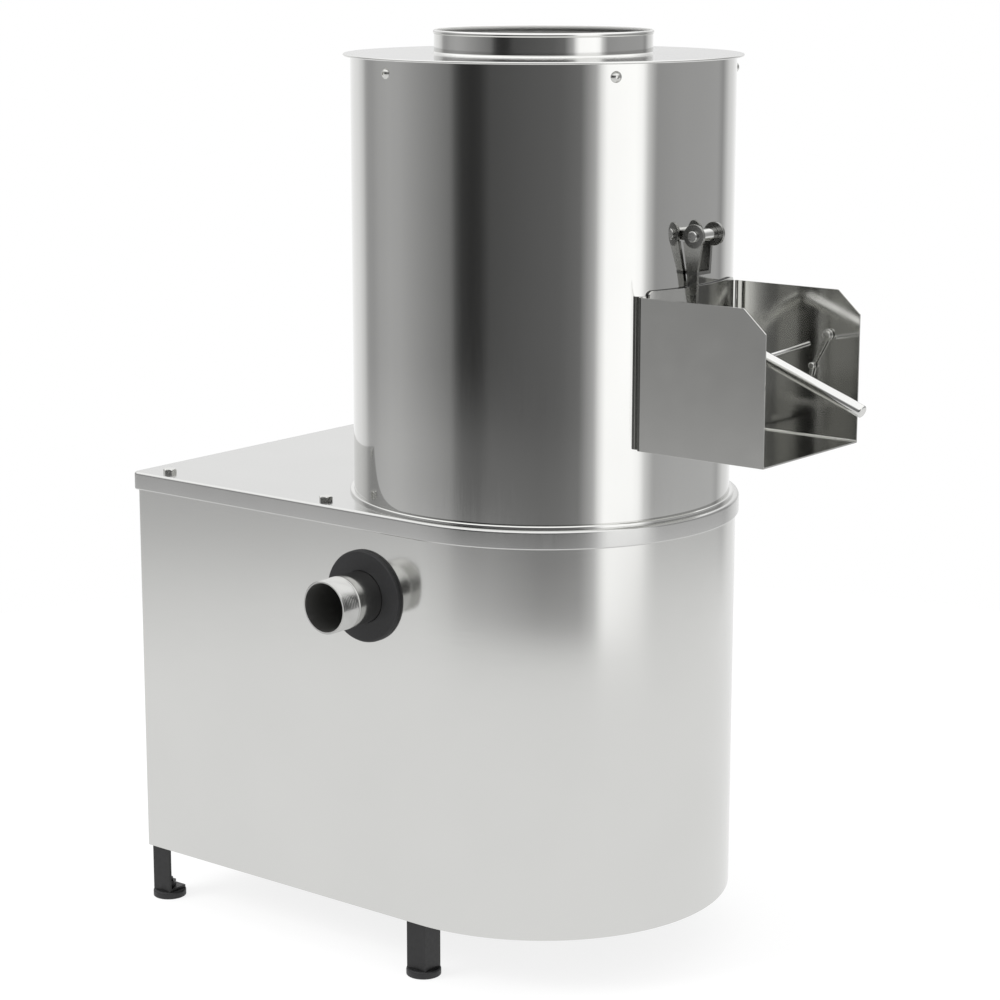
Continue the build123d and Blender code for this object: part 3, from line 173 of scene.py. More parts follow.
def ranged(tree, source, first, last, kind="LINEAR"):
    """Share of the way from the first value to the last."""
    node = add(tree, "ShaderNodeMapRange", interpolation_type=kind)
    node.inputs["From Min"].default_value = first
    node.inputs["From Max"].default_value = last
    tree.links.new(source, node.inputs["Value"])
    return node.outputs[0]


def inside(tree, centre, across, radius):
    """1 nearer the axis through the centre than the radius, 0 beyond it."""
    away = add(tree, "ShaderNodeVectorMath", operation="SUBTRACT")
    tree.links.new(coordinates(tree), away.inputs[0])
    away.inputs[1].default_value = centre
    flat = add(tree, "ShaderNodeVectorMath", operation="MULTIPLY")
    tree.links.new(away.outputs[0], flat.inputs[0])
    flat.inputs[1].default_value = across
    reach = add(tree, "ShaderNodeVectorMath", operation="LENGTH")
    tree.links.new(flat.outputs[0], reach.inputs[0])
    return ranged(tree, reach.outputs["Value"], (radius + FINE_EDGE) * MM,
                  (radius - FINE_EDGE) * MM)


def metal(name, colour, rough, vary, grain=(1, 1, 1), grain_scale=60.0, grain_bump=0.02,
          wave=0.0, wave_scale=6.0, smudge=0.04, bore=None):
    """Bare metal: base tone with smudges, grain in roughness and bump, slow waviness.

    A bore (centre, across, radius, roughness) is duller than the rest.
    """
    mat, tree, shader = node_material(name)
    shader.inputs["Metallic"].default_value = 1.0
    cloud = noise(tree, coordinates(tree), scale=5.0, detail=4.0, rough=0.55)
    low = tuple(c * (1 - smudge) for c in colour)
    high = tuple(c * (1 + smudge) for c in colour)
    tree.links.new(ramp(tree, cloud, [(0.3, low), (0.7, high)]), shader.inputs["Base Color"])
    lines = noise(tree, coordinates(tree, grain), grain_scale, detail=2.0, rough=0.6)
    dull = ramp(tree, lines, [(0.25, rough - vary), (0.75, rough + vary)])
    if bore:
        centre, across, radius, inner = bore
        dull = mixed(tree, inside(tree, centre, across, radius), dull, (inner, inner, inner, 1))
    tree.links.new(dull, shader.inputs["Roughness"])
    bump(tree, shader, lines, grain_bump, distance=0.0002)
    if wave:
        slow = noise(tree, coordinates(tree), wave_scale, detail=1.0, rough=0.4)
        bump(tree, shader, slow, wave, distance=0.004)
    return mat


def coated(name, colour, rough, uneven=0.06, grain_scale=400.0, grain_bump=0.15,
           vary=0.25, depth=0.0003, specular=0.5, coat=0.0):
    """Paint, rubber, cast iron or plastic: uneven tone and a fine surface grain."""
    mat, tree, shader = node_material(name)
    shader.inputs["Specular IOR Level"].default_value = specular
    if coat:
        shader.inputs["Coat Weight"].default_value = coat
        shader.inputs["Coat Roughness"].default_value = 0.25
    cloud = noise(tree, coordinates(tree), scale=14.0, detail=5.0, rough=0.6)
    low = tuple(c * (1 - vary) for c in colour)
    high = tuple(c * (1 + vary) for c in colour)
    tree.links.new(ramp(tree, cloud, [(0.3, low), (0.7, high)]), shader.inputs["Base Color"])
    fine = noise(tree, coordinates(tree), grain_scale, detail=3.0, rough=0.6)
    tree.links.new(ramp(tree, fine, [(0.3, rough - uneven), (0.7, rough + uneven)]),
                   shader.inputs["Roughness"])
    bump(tree, shader, fine, grain_bump, depth)
    return mat


STEEL, PLATE = (0.70, 0.70, 0.685), (0.66, 0.66, 0.64)
mirror_steel = metal("mirror_steel", STEEL, 0.065, 0.02, grain=(40, 40, 1.2), grain_scale=18.0,
                     grain_bump=0.012, wave=0.012, wave_scale=5.0, smudge=0.02)
neck_steel = metal("neck_steel", STEEL, 0.06, 0.02, grain=(40, 40, 1.2), grain_scale=18.0,
                   grain_bump=0.012, wave=0.006, wave_scale=5.0, smudge=0.02,
                   bore=(place(0, 0, 0), (1, 1, 0), NECK - SHEET / 2, 0.8))
lid_steel = metal("lid_steel", STEEL, 0.11, 0.02, grain_scale=18.0, grain_bump=0.006,
                  wave=0.01, wave_scale=5.0, smudge=0.02)
plate_steel = metal("plate_steel", PLATE, 0.1, 0.03, grain_scale=30.0, grain_bump=0.01,
                    wave=0.03, wave_scale=9.0, smudge=0.05)
floor_steel = metal("floor_steel", PLATE, 0.13, 0.03, grain=(1, 12, 1), grain_scale=26.0,
                    grain_bump=0.012, wave=0.03, wave_scale=9.0, smudge=0.05)
door_steel = metal("door_steel", (0.62, 0.62, 0.6), 0.14, 0.03, grain=(12, 12, 1),
                   grain_scale=26.0, grain_bump=0.012, wave=0.02, wave_scale=8.0, smudge=0.05)
# Steel of the hinge arm and web. Its base tone is set dark as painted shade, standing in for the
# arm's shaded look.
arm_steel_painted_shade = metal("arm_steel_painted_shade", (0.3, 0.3, 0.29), 0.26, 0.04, grain_scale=60.0, grain_bump=0.03,
                  wave=0.02, wave_scale=14.0, smudge=0.06)
handle_steel = metal("handle_steel", (0.68, 0.68, 0.665), 0.12, 0.03, grain=(2, 2, 2),
                     grain_scale=40.0, grain_bump=0.01, wave=0.01, wave_scale=10.0, smudge=0.03)
drain_steel = metal("drain_steel", (0.5, 0.5, 0.488), 0.17, 0.04, grain_scale=70.0,
                    grain_bump=0.02, wave=0.015, wave_scale=16.0, smudge=0.05,
                    bore=(place(DRAIN_X, 0, DRAIN_Z), (1, 0, 1), DRAIN_BORE + EDGE, 0.42))
satin_steel = metal("satin_steel", (0.69, 0.69, 0.675), 0.13, 0.01, grain=(1, 1, 30),
                    grain_scale=24.0, grain_bump=0.001, wave=0.01, wave_scale=4.0, smudge=0.015)
cover_steel = metal("cover_steel", (0.6, 0.6, 0.59), 0.18, 0.02, grain=(1, 30, 1),
                    grain_scale=24.0, grain_bump=0.003, wave=0.01, wave_scale=4.0, smudge=0.02)
machined_steel = metal("machined_steel", (0.6, 0.6, 0.59), 0.24, 0.05, grain=(1, 1, 60),
                       grain_scale=20.0, grain_bump=0.05, smudge=0.06)
zinc = metal("zinc", PLATE, 0.24, 0.06, grain_scale=220.0, grain_bump=0.06, smudge=0.1)
black_paint = coated("black_paint", (0.012, 0.012, 0.0125), 0.45, 0.08, grain_scale=240.0,
                     grain_bump=0.2, vary=0.2, specular=0.35, coat=0.1)
black_rubber = coated("black_rubber", (0.017, 0.017, 0.018), 0.55, 0.08, grain_scale=500.0,
                      grain_bump=0.2, vary=0.2, depth=0.0002)
cast_iron = coated("cast_iron", (0.09, 0.095, 0.1), 0.6, 0.08, grain_scale=260.0,
                   grain_bump=0.5, vary=0.2, depth=0.0006)
motor_paint = coated("motor_paint", (0.13, 0.16, 0.18), 0.45, grain_scale=320.0,
                     grain_bump=0.25, vary=0.15)
dark_plastic = coated("dark_plastic", (0.03, 0.03, 0.032), 0.5, grain_scale=420.0, vary=0.15)


def grit(name, dark, light):
    """Bonded abrasive: close sharp grains with light and dark specks."""
    mat, tree, shader = node_material(name)
    where = coordinates(tree)
    cells = tree.nodes.new("ShaderNodeTexVoronoi")
    cells.inputs["Scale"].default_value = 520.0
    tree.links.new(where, cells.inputs["Vector"])
    tone = tree.nodes.new("ShaderNodeSeparateColor")
    tree.links.new(cells.outputs["Color"], tone.inputs[0])
    middle = tuple((a + b) / 2 for a, b in zip(dark, light))
    tree.links.new(ramp(tree, tone.outputs[0], [(0.0, dark), (0.7, middle), (1.0, light)]),
                   shader.inputs["Base Color"])
    shader.inputs["Roughness"].default_value = 0.72
    bump(tree, shader, cells.outputs["Distance"], strength=0.9, distance=0.0012)
    lumps = noise(tree, where, scale=90.0, detail=4.0, rough=0.6)
    bump(tree, shader, lumps, strength=0.3, distance=0.0015)
    return mat


liner_grit = grit("liner_grit", (0.05, 0.05, 0.055), (0.3, 0.3, 0.3))
disc_grit = grit("disc_grit", (0.06, 0.055, 0.055), (0.33, 0.32, 0.31))


# Mesh building, all in millimetres on the drum's axis

def frame_at(origin, x_dir, z_dir):
    """Matrix from a local frame to the drum's frame."""
    z = Vector(z_dir).normalized()
    x = Vector(x_dir).normalized()
    y = z.cross(x)
    return Matrix(((x[0], y[0], z[0], origin[0]), (x[1], y[1], z[1], origin[1]),
                   (x[2], y[2], z[2], origin[2]), (0, 0, 0, 1)))


HOME = Matrix.Identity(4)


def arc(cx, cy, r, start, end, steps):
    """Points of an arc, angles in degrees."""
    return [(cx + r * cos(radians(angle)), cy + r * sin(radians(angle)))
            for angle in spread(start, end, steps)]


# Most of a side that one rounded corner may take
SIDE_SHARE = 0.49


def rounded(points, radii, steps=5):
    """Closed outline with each corner rounded by its own radius."""
    out = []
    count = len(points)
    for i, (point, r) in enumerate(zip(points, radii)):
        p = Vector(point)
        a = Vector(points[i - 1]) - p
        b = Vector(points[(i + 1) % count]) - p
        if r <= 0:
            out.append(tuple(p))
            continue
        half = a.angle(b) / 2
        reach = min(r / tan(half), a.length * SIDE_SHARE, b.length * SIDE_SHARE)
        away = reach * tan(half) / sin(half)
        centre = p + (a.normalized() + b.normalized()).normalized() * away
        first = p + a.normalized() * reach - centre
        last = p + b.normalized() * reach - centre
        sweep = first.angle_signed(last)
        for k in range(steps + 1):
            out.append(tuple(centre + Matrix.Rotation(-sweep * k / steps, 2) @ first))
    return out


class Build:
    """Collects shells and makes one Blender object of them."""

    def __init__(self):
        self.verts = []
        self.faces = []

    def add(self, verts, faces, at=HOME):
        base = len(self.verts)
        self.verts += [tuple(at @ Vector(v)) for v in verts]
        self.faces += [tuple(base + i for i in face) for face in faces]
        return self

    def lathe(self, profile, at=HOME, steps=160, closed=True, radius=None):
        """Turned shell round the local Z axis; radius(r, z, angle) may shape it."""
        verts = []
        for k in range(steps):
            a = 2 * pi * k / steps
            for r, z in profile:
                q = radius(r, z, a) if radius else r
                verts.append((q * cos(a), q * sin(a), z))
        n = len(profile)
        spans = n if closed else n - 1
        faces = []
        for k in range(steps):
            nxt = (k + 1) % steps
            for i in range(spans):
                j = (i + 1) % n
                faces.append((k * n + i, nxt * n + i, nxt * n + j, k * n + j))
        return self.add(verts, faces, at)

    def prism(self, outline, low, high, at=HOME, edge=0.0):
        """Straight prism over an outline, with its long edges eased by edge."""
        levels = [(0, low), (0, high)]
        if edge:
            bend = quarter(edge, 2)
            levels = [(inset, low + up) for inset, up in reversed(bend)]
            levels += [(inset, high - down) for inset, down in bend]
        rings = [[(x, y, z) for x, y in shrink(outline, inset)] for inset, z in levels]
        return self.loops(rings, at)

    def loops(self, rings, at=HOME, wrap=False):
        """Shell through rings of points with equal counts, closed at its ends or wrapped."""
        n = len(rings[0])
        verts = [p for ring in rings for p in ring]
        faces = []
        spans = len(rings) if wrap else len(rings) - 1
        for k in range(spans):
            nxt = (k + 1) % len(rings)
            for i in range(n):
                j = (i + 1) % n
                faces.append((k * n + i, k * n + j, nxt * n + j, nxt * n + i))
        if not wrap:
            faces.append(tuple(reversed(range(n))))
            faces.append(tuple(range((len(rings) - 1) * n, len(rings) * n)))
        return self.add(verts, faces, at)

    def object(self, name, mat, body, slot, replaces=(), sharp=32, cuts=(), ease=0.0):
        """Finished Blender object on its body, with its cuts, eased edges and material."""
        mesh = bpy.data.meshes.new(name)
        mesh.from_pydata([place(*v) for v in self.verts], [], self.faces)
        obj = bpy.data.objects.new(name, mesh)
        bpy.context.scene.collection.objects.link(obj)
        tidy(mesh)
        for cutter in cuts:
            carve(obj, cutter)
        if ease:
            ease_edges(obj, ease, sharp)
        tidy(obj.data)
        for poly in obj.data.polygons:
            poly.use_smooth = True
        obj.data.set_sharp_from_angle(angle=radians(sharp))
        weigh_normals(obj)
        obj.data.materials.append(mat)
        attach(obj, body)
        if replaces:
            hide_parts(*replaces)


def tidy(mesh):
    bm = bmesh.new()
    bm.from_mesh(mesh)
    bmesh.ops.remove_doubles(bm, verts=bm.verts, dist=1e-6)
    bmesh.ops.dissolve_degenerate(bm, dist=1e-7, edges=bm.edges)
    bmesh.ops.recalc_face_normals(bm, faces=bm.faces)
    bm.to_mesh(mesh)
    bm.free()


def freeze(obj):
    """Replace the object's mesh with what its modifiers make of it."""
    graph = bpy.context.evaluated_depsgraph_get()
    graph.update()
    made = bpy.data.meshes.new_from_object(obj.evaluated_get(graph))
    obj.modifiers.clear()
    obj.data = made


def carve(obj, cutter):
    """Cut the cutter's shape out of the object."""
    mesh = bpy.data.meshes.new("cutter")
    mesh.from_pydata([place(*v) for v in cutter.verts], [], cutter.faces)
    tidy(mesh)
    other = bpy.data.objects.new("cutter", mesh)
    bpy.context.scene.collection.objects.link(other)
    mod = obj.modifiers.new("cut", "BOOLEAN")
    mod.operation = "DIFFERENCE"
    mod.solver = "EXACT"
    mod.object = other
    freeze(obj)
    bpy.data.objects.remove(other)


def ease_edges(obj, width, sharp):
    mod = obj.modifiers.new("ease", "BEVEL")
    mod.width = width * MM
    mod.segments = 2
    mod.limit_method = "ANGLE"
    mod.angle_limit = radians(sharp)
    mod.use_clamp_overlap = True
    freeze(obj)


def weigh_normals(obj):
    """Let the largest face at each corner set its shading, so that flat plates stay flat."""
    mod = obj.modifiers.new("weigh", "WEIGHTED_NORMAL")
    mod.mode = "FACE_AREA"
    mod.weight = 50
    mod.keep_sharp = True
    freeze(obj)


# Least share that keeps the corner of an offset outline from running away
MITRE_LEAST = 0.35


def mitre(a, b):
    """Where a corner between two directions goes when both sides move 1 to the left."""
    left = Vector((-a[1], a[0]))
    middle = left + Vector((-b[1], b[0]))
    return middle / max(MITRE_LEAST, middle.dot(left))


def shrink(outline, inset):
    """Outline moved inward by the inset."""
    if not inset:
        return list(outline)
    area = sum(a[0] * b[1] - b[0] * a[1] for a, b in zip(outline, outline[1:] + outline[:1]))
    side = 1 if area > 0 else -1
    moved = []
    n = len(outline)
    for i in range(n):
        p = Vector(outline[i])
        a = (p - Vector(outline[i - 1])).normalized()
        b = (Vector(outline[(i + 1) % n]) - p).normalized()
        moved.append(tuple(p + mitre(a, b) * side * inset))
    return moved


# Drum

PORT_HALF, PORT_LOW, PORT_HIGH, PORT_CORNER = 67.0, 583.0, 720.0, 10.0
NECK_TOP = span("feed_neck", 2)[1]
NECK_BEAD = 2.5
NECK_WELD, WELD_SUNK = 2.0, 0.3
WELD_SHARES, WELD_SWELL = (0.92, 0.5, 0.12), 1.05
LID = 207.5
LID_BEAD = 1.25
LID_SKIRT = 28.0
# Share of the skirt's radius at which the flat top is divided
LID_RING = 0.75
SCREW_DROP = 15.0
SCREW_COUNT, SCREW_FIRST = 5, -104.2
DOME_SHARES = (0.42, 0.58, 0.74, 0.88, 0.97)


def to_chute(x, y, z):
    """Frame whose local X, Y and Z run along the machine's Y, Z and X."""
    return frame_at((x, y, z), (0, 1, 0), (1, 0, 0))


def to_drain(x, y, z):
    """Frame whose local Z points at the drain side and whose local Y points down."""
    return frame_at((x, y, z), (1, 0, 0), (0, -1, 0))


def cylinder(radius, low, high, at=HOME, steps=96):
    return Build().lathe([(0, low), (radius, low), (radius, high), (0, high)], at, steps)


levels = spread(SUMP_LOW, DRUM_TOP - SHEET, 12)
skin = [(DRUM, z) for z in levels] + [(DRUM - DRUM_WALL, z) for z in reversed(levels)]
port = Build().prism(rounded([(-PORT_HALF, PORT_LOW), (PORT_HALF, PORT_LOW),
                              (PORT_HALF, PORT_HIGH), (-PORT_HALF, PORT_HIGH)],
                             [PORT_CORNER] * 4),
                     DRUM - 2 * OVERRUN, DRUM + OVERRUN, to_chute(0, 0, 0))
drain_at = to_drain(DRAIN_X, 0, DRAIN_Z)
drain_hole = cylinder(DRAIN_R + SLIP, DRUM - 2 * OVERRUN, DRUM + OVERRUN, drain_at, 64)
Build().lathe(skin, steps=288).object(
    "drum_skin", mirror_steel, "machine", "polished_steel", ["drum_shell", "drum_sump"],
    cuts=[port, drain_hole])

FOOT_WIDTH, FOOT_HEIGHT = 4.5, 3.5
foot = rounded([(SEAT, COVER), (SEAT + FOOT_WIDTH, COVER),
                (SEAT + FOOT_WIDTH, COVER + FOOT_HEIGHT), (SEAT, COVER + FOOT_HEIGHT)],
               [0, 0, FOOT_HEIGHT * 3 / 4, 0], 6)
Build().lathe(foot, steps=240).object(
    "drum_foot_bead", mirror_steel, "machine", "polished_steel", ["drum_foot_ring"])

lid_low = DRUM_TOP - SHEET
skirt_r = DRUM - DRUM_WALL - SLIP
bead = arc(LID - LID_BEAD, DRUM_TOP - LID_BEAD, LID_BEAD, -90, 90, 8)
lid = [(NECK + SLIP, lid_low), (skirt_r - SHEET, lid_low),
       (skirt_r - SHEET, lid_low - LID_SKIRT), (skirt_r, lid_low - LID_SKIRT),
       (skirt_r, lid_low), (LID - 2 * LID_BEAD, lid_low)] + bead
lid += [(skirt_r * LID_RING, DRUM_TOP), (NECK + SLIP, DRUM_TOP)]
Build().lathe(lid, steps=288).object(
    "lid_disc", lid_steel, "machine", "polished_steel", ["drum_lid"])

rim_z = NECK_TOP - NECK_BEAD
rim = arc(NECK - SHEET, rim_z, NECK_BEAD, -50, 230, 20)
neck = [(NECK - SHEET, lid_low), (NECK, lid_low), (NECK, rim_z - NECK_BEAD)] + rim
neck += [(NECK - SHEET, rim_z - NECK_BEAD)]
weld = [(NECK - WELD_SUNK, DRUM_TOP), (NECK + NECK_WELD, DRUM_TOP)]
weld += [(NECK + NECK_WELD * share, DRUM_TOP + NECK_WELD * (WELD_SWELL - share))
         for share in WELD_SHARES]
weld += [(NECK - WELD_SUNK, DRUM_TOP + NECK_WELD)]
Build().lathe(neck, steps=220).lathe(weld, steps=220).object(
    "neck_tube", neck_steel, "machine", "polished_steel", ["feed_neck"])


def hexagon(angle):
    """Reach of a hexagon's side at an angle, for a hexagon 2 across its flats."""
    return 1 / cos((angle + pi / 6) % (pi / 3) - pi / 6)


def dome_screw(build, at, head=5.8, dome=3.4, shank=3.0, socket=1.65, edge=0.1):
    """Low domed head with a hexagon socket, on a curved seat."""
    ball = (head ** 2 + dome ** 2) / (2 * dome)
    cap = [(0.0, dome / 2), (socket - edge, dome / 2), (socket, dome - 2 * edge)]
    cap += [(head * share, dome - ball + sqrt(ball ** 2 - (head * share) ** 2))
            for share in DOME_SHARES]
    cap += [(head, -SLIP), (shank, -SLIP), (shank, -2 * dome), (0.0, -2 * dome)]

    def shaped(r, z, angle):
        return r * hexagon(angle) if r <= socket else r

    build.lathe(cap, at, 36, closed=False, radius=shaped)


screws = Build()
for k in range(SCREW_COUNT):
    turn = radians(SCREW_FIRST + 360 * k / SCREW_COUNT)
    out = (cos(turn), sin(turn), 0)
    dome_screw(screws, frame_at((DRUM * out[0], DRUM * out[1], DRUM_TOP - SCREW_DROP),
                                (0, 0, 1), out))
screws.object("lid_screw_heads", zinc, "machine", "zinc_fasteners", ["lid_screws"])


# Housing

OVERHANG, SKIRT, COVER_BEND = 3.5, 19.5, 3.0
FLANGE = 24.0
HOUSING_LOW = span("housing_wrap", 2)[0]
FRONT_STEPS, SIDE_STEPS, BEND_STEPS = 144, 24, 8


def between(first, last):
    """Evenly spaced values along a flat side, without its ends."""
    return spread(first, last, SIDE_STEPS)[1:-1]


def d_loop(half, back, bend):
    """Points of the housing's plan, counter-clockwise from the front's drain side."""
    pts = arc(0, 0, half, -90, 90, FRONT_STEPS)
    pts += [(x, half) for x in between(0, bend - back)]
    pts += arc(bend - back, half - bend, bend, 90, 180, BEND_STEPS)
    pts += [(-back, y) for y in between(half - bend, bend - half)]
    pts += arc(bend - back, bend - half, bend, 180, 270, BEND_STEPS)
    pts += [(x, -half) for x in between(bend - back, 0)]
    return pts


def d_ring(grow, z):
    return [(x, y, z) for x, y in d_loop(HALF + grow, BACK + grow, BEND + grow)]


def drum_ring(radius, z):
    """Ring on a circle with one point for each point of the plan."""
    ring = []
    for x, y in d_loop(HALF, BACK, BEND):
        a = atan2(y, x)
        ring.append((radius * cos(a), radius * sin(a), z))
    return ring


skirt_low = COVER - SKIRT
inner_bend = COVER_BEND - SHEET
rings = [drum_ring(SEAT, COVER), d_ring(-SHEET, COVER)]
rings += [d_ring(OVERHANG - across, COVER - down)
          for across, down in reversed(quarter(COVER_BEND, 6))]
rings += [d_ring(OVERHANG - across, skirt_low + up) for across, up in quarter(SHEET, 6)]
rings += [d_ring(OVERHANG - SHEET - across, COVER - SHEET - down)
          for across, down in quarter(inner_bend, 3)]
rings += [d_ring(-SHEET, COVER - SHEET), drum_ring(SEAT, COVER - SHEET)]
Build().loops(rings, wrap=True).object(
    "cover_sheet", cover_steel, "machine", "satin_steel", ["top_cover"], sharp=50)


def open_strip(path, thick):
    """Closed outline of a sheet that follows an open path, thick to the left."""
    other = []
    n = len(path)
    for i in range(n):
        before, after = max(i, 1), min(i, n - 2)
        a = (Vector(path[before]) - Vector(path[before - 1])).normalized()
        b = (Vector(path[after + 1]) - Vector(path[after])).normalized()
        other.append(tuple(Vector(path[i]) + mitre(a, b) * thick))
    return list(path) + other[::-1]


def strip_wall(path, thick, low, high, levels):
    """Sheet wall: the path's strip raised between two heights, in quads."""
    outline = open_strip(path, thick)
    n = len(outline)
    half = n // 2
    verts = [(x, y, z) for z in spread(low, high, levels) for x, y in outline]
    faces = []
    for k in range(levels):
        for i in range(n):
            j = (i + 1) % n
            faces.append((k * n + i, k * n + j, (k + 1) * n + j, (k + 1) * n + i))
    top = levels * n
    for i in range(half - 1):
        faces.append((i + 1, i, n - 1 - i, n - 2 - i))
        faces.append((top + i, top + i + 1, top + n - 2 - i, top + n - 1 - i))
    return Build().add(verts, faces)


wrap_back = BACK - SHEET
bend_from = wrap_back - BEND
wrap_path = [(-wrap_back, -HALF + FLANGE)]
wrap_path += arc(-bend_from, -HALF + BEND, BEND, 180, 270, BEND_STEPS)
wrap_path += [(x, -HALF) for x in between(-bend_from, 0)]
wrap_path += arc(0, 0, HALF, -90, 90, FRONT_STEPS)
wrap_path += [(x, HALF) for x in between(0, -bend_from)]
wrap_path += arc(-bend_from, HALF - BEND, BEND, 90, 180, BEND_STEPS)
wrap_path += [(-wrap_back, HALF - FLANGE)]
grommet_cut = cylinder(GROMMET_NECK + SLIP, HALF - OVERRUN, HALF + OVERRUN, drain_at, 72)
strip_wall(wrap_path, SHEET, HOUSING_LOW, COVER - SHEET, levels=8).object(
    "housing_sheet", satin_steel, "machine", "satin_steel", ["housing_wrap"],
    sharp=40, cuts=[grommet_cut])


TOP_FACE_SHARE = 0.95


def hex_head(build, at, flat, height, chamfer=0.9, count=72):
    """Hexagon head with its top corners turned away."""
    inner = flat / 2
    slope = chamfer / (hexagon(pi / 6) - 1)
    rings = [[], [], []]
    for angle in spread(0, 2 * pi, count)[:-1]:
        side = hexagon(angle)
        for ring, r, z in zip(rings, (side, side, TOP_FACE_SHARE),
                              (0.0, height - slope * (side - 1), height)):
            ring.append((inner * r * cos(angle), inner * r * sin(angle), z))
    build.loops(rings, at)


def turned_at(x, y, z, angle):
    return Matrix.Translation((x, y, z)) @ Matrix.Rotation(radians(angle), 4, "Z")


BOLT_X, BOLT_Y = (-370.0, -140.0), 189.0
BOLT_FLAT, BOLT_HEAD, BOLT_SHANK, BOLT_LENGTH, BOLT_NUT = 13.0, 4.5, 4.0, 20.0, 6.5
NUT_DROP, BOLT_TURNS, NUT_TURN = 11.0, (1.0, -129.0), 17.2
shank = [(0, -BOLT_LENGTH), (BOLT_SHANK, -BOLT_LENGTH), (BOLT_SHANK, SLIP), (0, SLIP)]
bolts = Build()
for x, turn in zip(BOLT_X, BOLT_TURNS):
    for y in (-BOLT_Y, BOLT_Y):
        at = turned_at(x, y, COVER, turn)
        hex_head(bolts, at, BOLT_FLAT, BOLT_HEAD)
        bolts.lathe(shank, at, 32)
        hex_head(bolts, turned_at(x, y, COVER - NUT_DROP, NUT_TURN), BOLT_FLAT, BOLT_NUT)
bolts.object("cover_bolt_set", zinc, "machine", "zinc_fasteners", ["cover_bolts"])


# Feet

FOOT_X, FOOT_Y = (-385.5, -8.5), 190.5
FOOT, FOOT_HIGH, FOOT_BORE, RECESS, RECESS_HIGH = 18.5, 8.0, 4.1, 9.0, 5.5
PAD_EDGES = [0.5, 0.8, 2.5, 0, 0, 0]
pad = rounded([(RECESS, 0.0), (FOOT, 0.0), (FOOT, FOOT_HIGH), (FOOT_BORE, FOOT_HIGH),
               (FOOT_BORE, RECESS_HIGH), (RECESS, RECESS_HIGH)], PAD_EDGES)
feet = Build()
for x in FOOT_X:
    for y in (-FOOT_Y, FOOT_Y):
        feet.lathe(pad, Matrix.Translation((x, y, 0)), 72)
feet.object("feet_rubber", black_rubber, "machine", "black_rubber", ["rubber_feet"])


# Chute

CHUTE_LOW, CHUTE_HIGH = span("chute_side_near", 2)
CHUTE_HALF = 88.0
CHUTE_BEND = 6.0
CHAMFER_RUN, CHAMFER_DROP = 26.0, 23.0
DOOR_HALF = 75.0
bend_y = CHUTE_HALF - CHUTE_BEND
bend_x = sqrt((SEAT + CHUTE_BEND) ** 2 - bend_y ** 2)
bend_lean = degrees(atan2(bend_y, bend_x))
flange_end = degrees(asin((DOOR_HALF + GAP) / SEAT))


def on_circle(radius, angle):
    return radius * cos(radians(angle)), radius * sin(radians(angle))


def bent_path(steps=10):
    """Outer and inner points of the far wall's plan, from its outer end to its flange."""
    pairs = [((x, CHUTE_HALF), (x, CHUTE_HALF - SHEET)) for x in spread(CHUTE_REACH, bend_x, 8)]
    pairs += zip(*[arc(bend_x, bend_y, r, 90, 180 + bend_lean, steps)[1:]
                   for r in (CHUTE_BEND, CHUTE_BEND - SHEET)])
    pairs += [(on_circle(SEAT, angle), on_circle(SEAT + SHEET, angle))
              for angle in spread(bend_lean, flange_end, 4)[1:]]
    return pairs


def paired_wall(pairs, low, high, side):
    """Upright sheet whose plan is a row of outer and inner points, on one side."""
    n = len(pairs)
    verts = []
    for z in (low, high):
        verts += [(x, side * y, z) for pair in pairs for x, y in pair]
    top = 2 * n
    faces = []
    for i in range(n - 1):
        a, b = 2 * i, 2 * i + 2
        faces += [(a, b, top + b, top + a), (a + 1, top + a + 1, top + b + 1, b + 1),
                  (a, a + 1, b + 1, b), (top + a, top + b, top + b + 1, top + a + 1)]
    last = top - 2
    faces += [(0, top, top + 1, 1), (last, last + 1, top + last + 1, top + last)]
    return Build().add(verts, faces)


def chute_wall(side, name, node, cuts):
    corner = [(CHUTE_REACH - CHAMFER_RUN, CHUTE_HIGH), (CHUTE_REACH, CHUTE_HIGH - CHAMFER_DROP),
              (CHUTE_REACH + CHAMFER_RUN, CHUTE_HIGH - CHAMFER_DROP),
              (CHUTE_REACH + CHAMFER_RUN, CHUTE_HIGH + CHAMFER_DROP),
              (CHUTE_REACH - CHAMFER_RUN, CHUTE_HIGH + CHAMFER_DROP)]
    cutter = Build().prism(corner, -2 * CHUTE_HALF, 2 * CHUTE_HALF, to_drain(0, 0, 0))
    paired_wall(bent_path(), CHUTE_LOW, CHUTE_HIGH, side).object(
        name, plate_steel, "machine", "polished_steel", [node], sharp=40,
        cuts=[cutter] + cuts, ease=FINE_EDGE)


CATCH_X, CATCH_Z, CATCH_LEAN, CATCH_GAP, CATCH_BOLT = 299.0, 676.5, 27.0, 1.5, 2.5
inner_face = CHUTE_HALF - SHEET
catch_hole = cylinder(CATCH_BOLT + SLIP, -OVERRUN, OVERRUN,
                      to_drain(CATCH_X, inner_face, CATCH_Z), 32)
chute_wall(-1, "chute_plate_near", "chute_side_near", [])
chute_wall(1, "chute_plate_far", "chute_side_far", [catch_hole])


def chute_floor():
    """Floor between the walls, following the insides of their bends."""
    side = [pair[1] for pair in bent_path()]
    side += [on_circle(SEAT, angle) for angle in spread(flange_end, 0, 12)]
    plan = side + [(x, -y) for x, y in reversed(side[:-1])]
    return Build().prism(plan[::-1], CHUTE_LOW, CHUTE_LOW + SHEET)


SEAM, SEAM_HOLLOW = 1.3, 0.35
hollow = SEAM * SEAM_HOLLOW
floor_plate = chute_floor()
for side in (-1, 1):
    corner = [(0, 0), (0, SEAM), (-side * hollow, hollow), (-side * SEAM, 0)]
    rings = [[(x, side * inner_face + across, CHUTE_LOW + SHEET + up) for across, up in corner]
             for x in (bend_x, CHUTE_REACH)]
    floor_plate.loops(rings)
floor_plate.object("chute_floor_plate", floor_steel, "machine", "polished_steel",
                     ["chute_floor"], sharp=30)


# Door

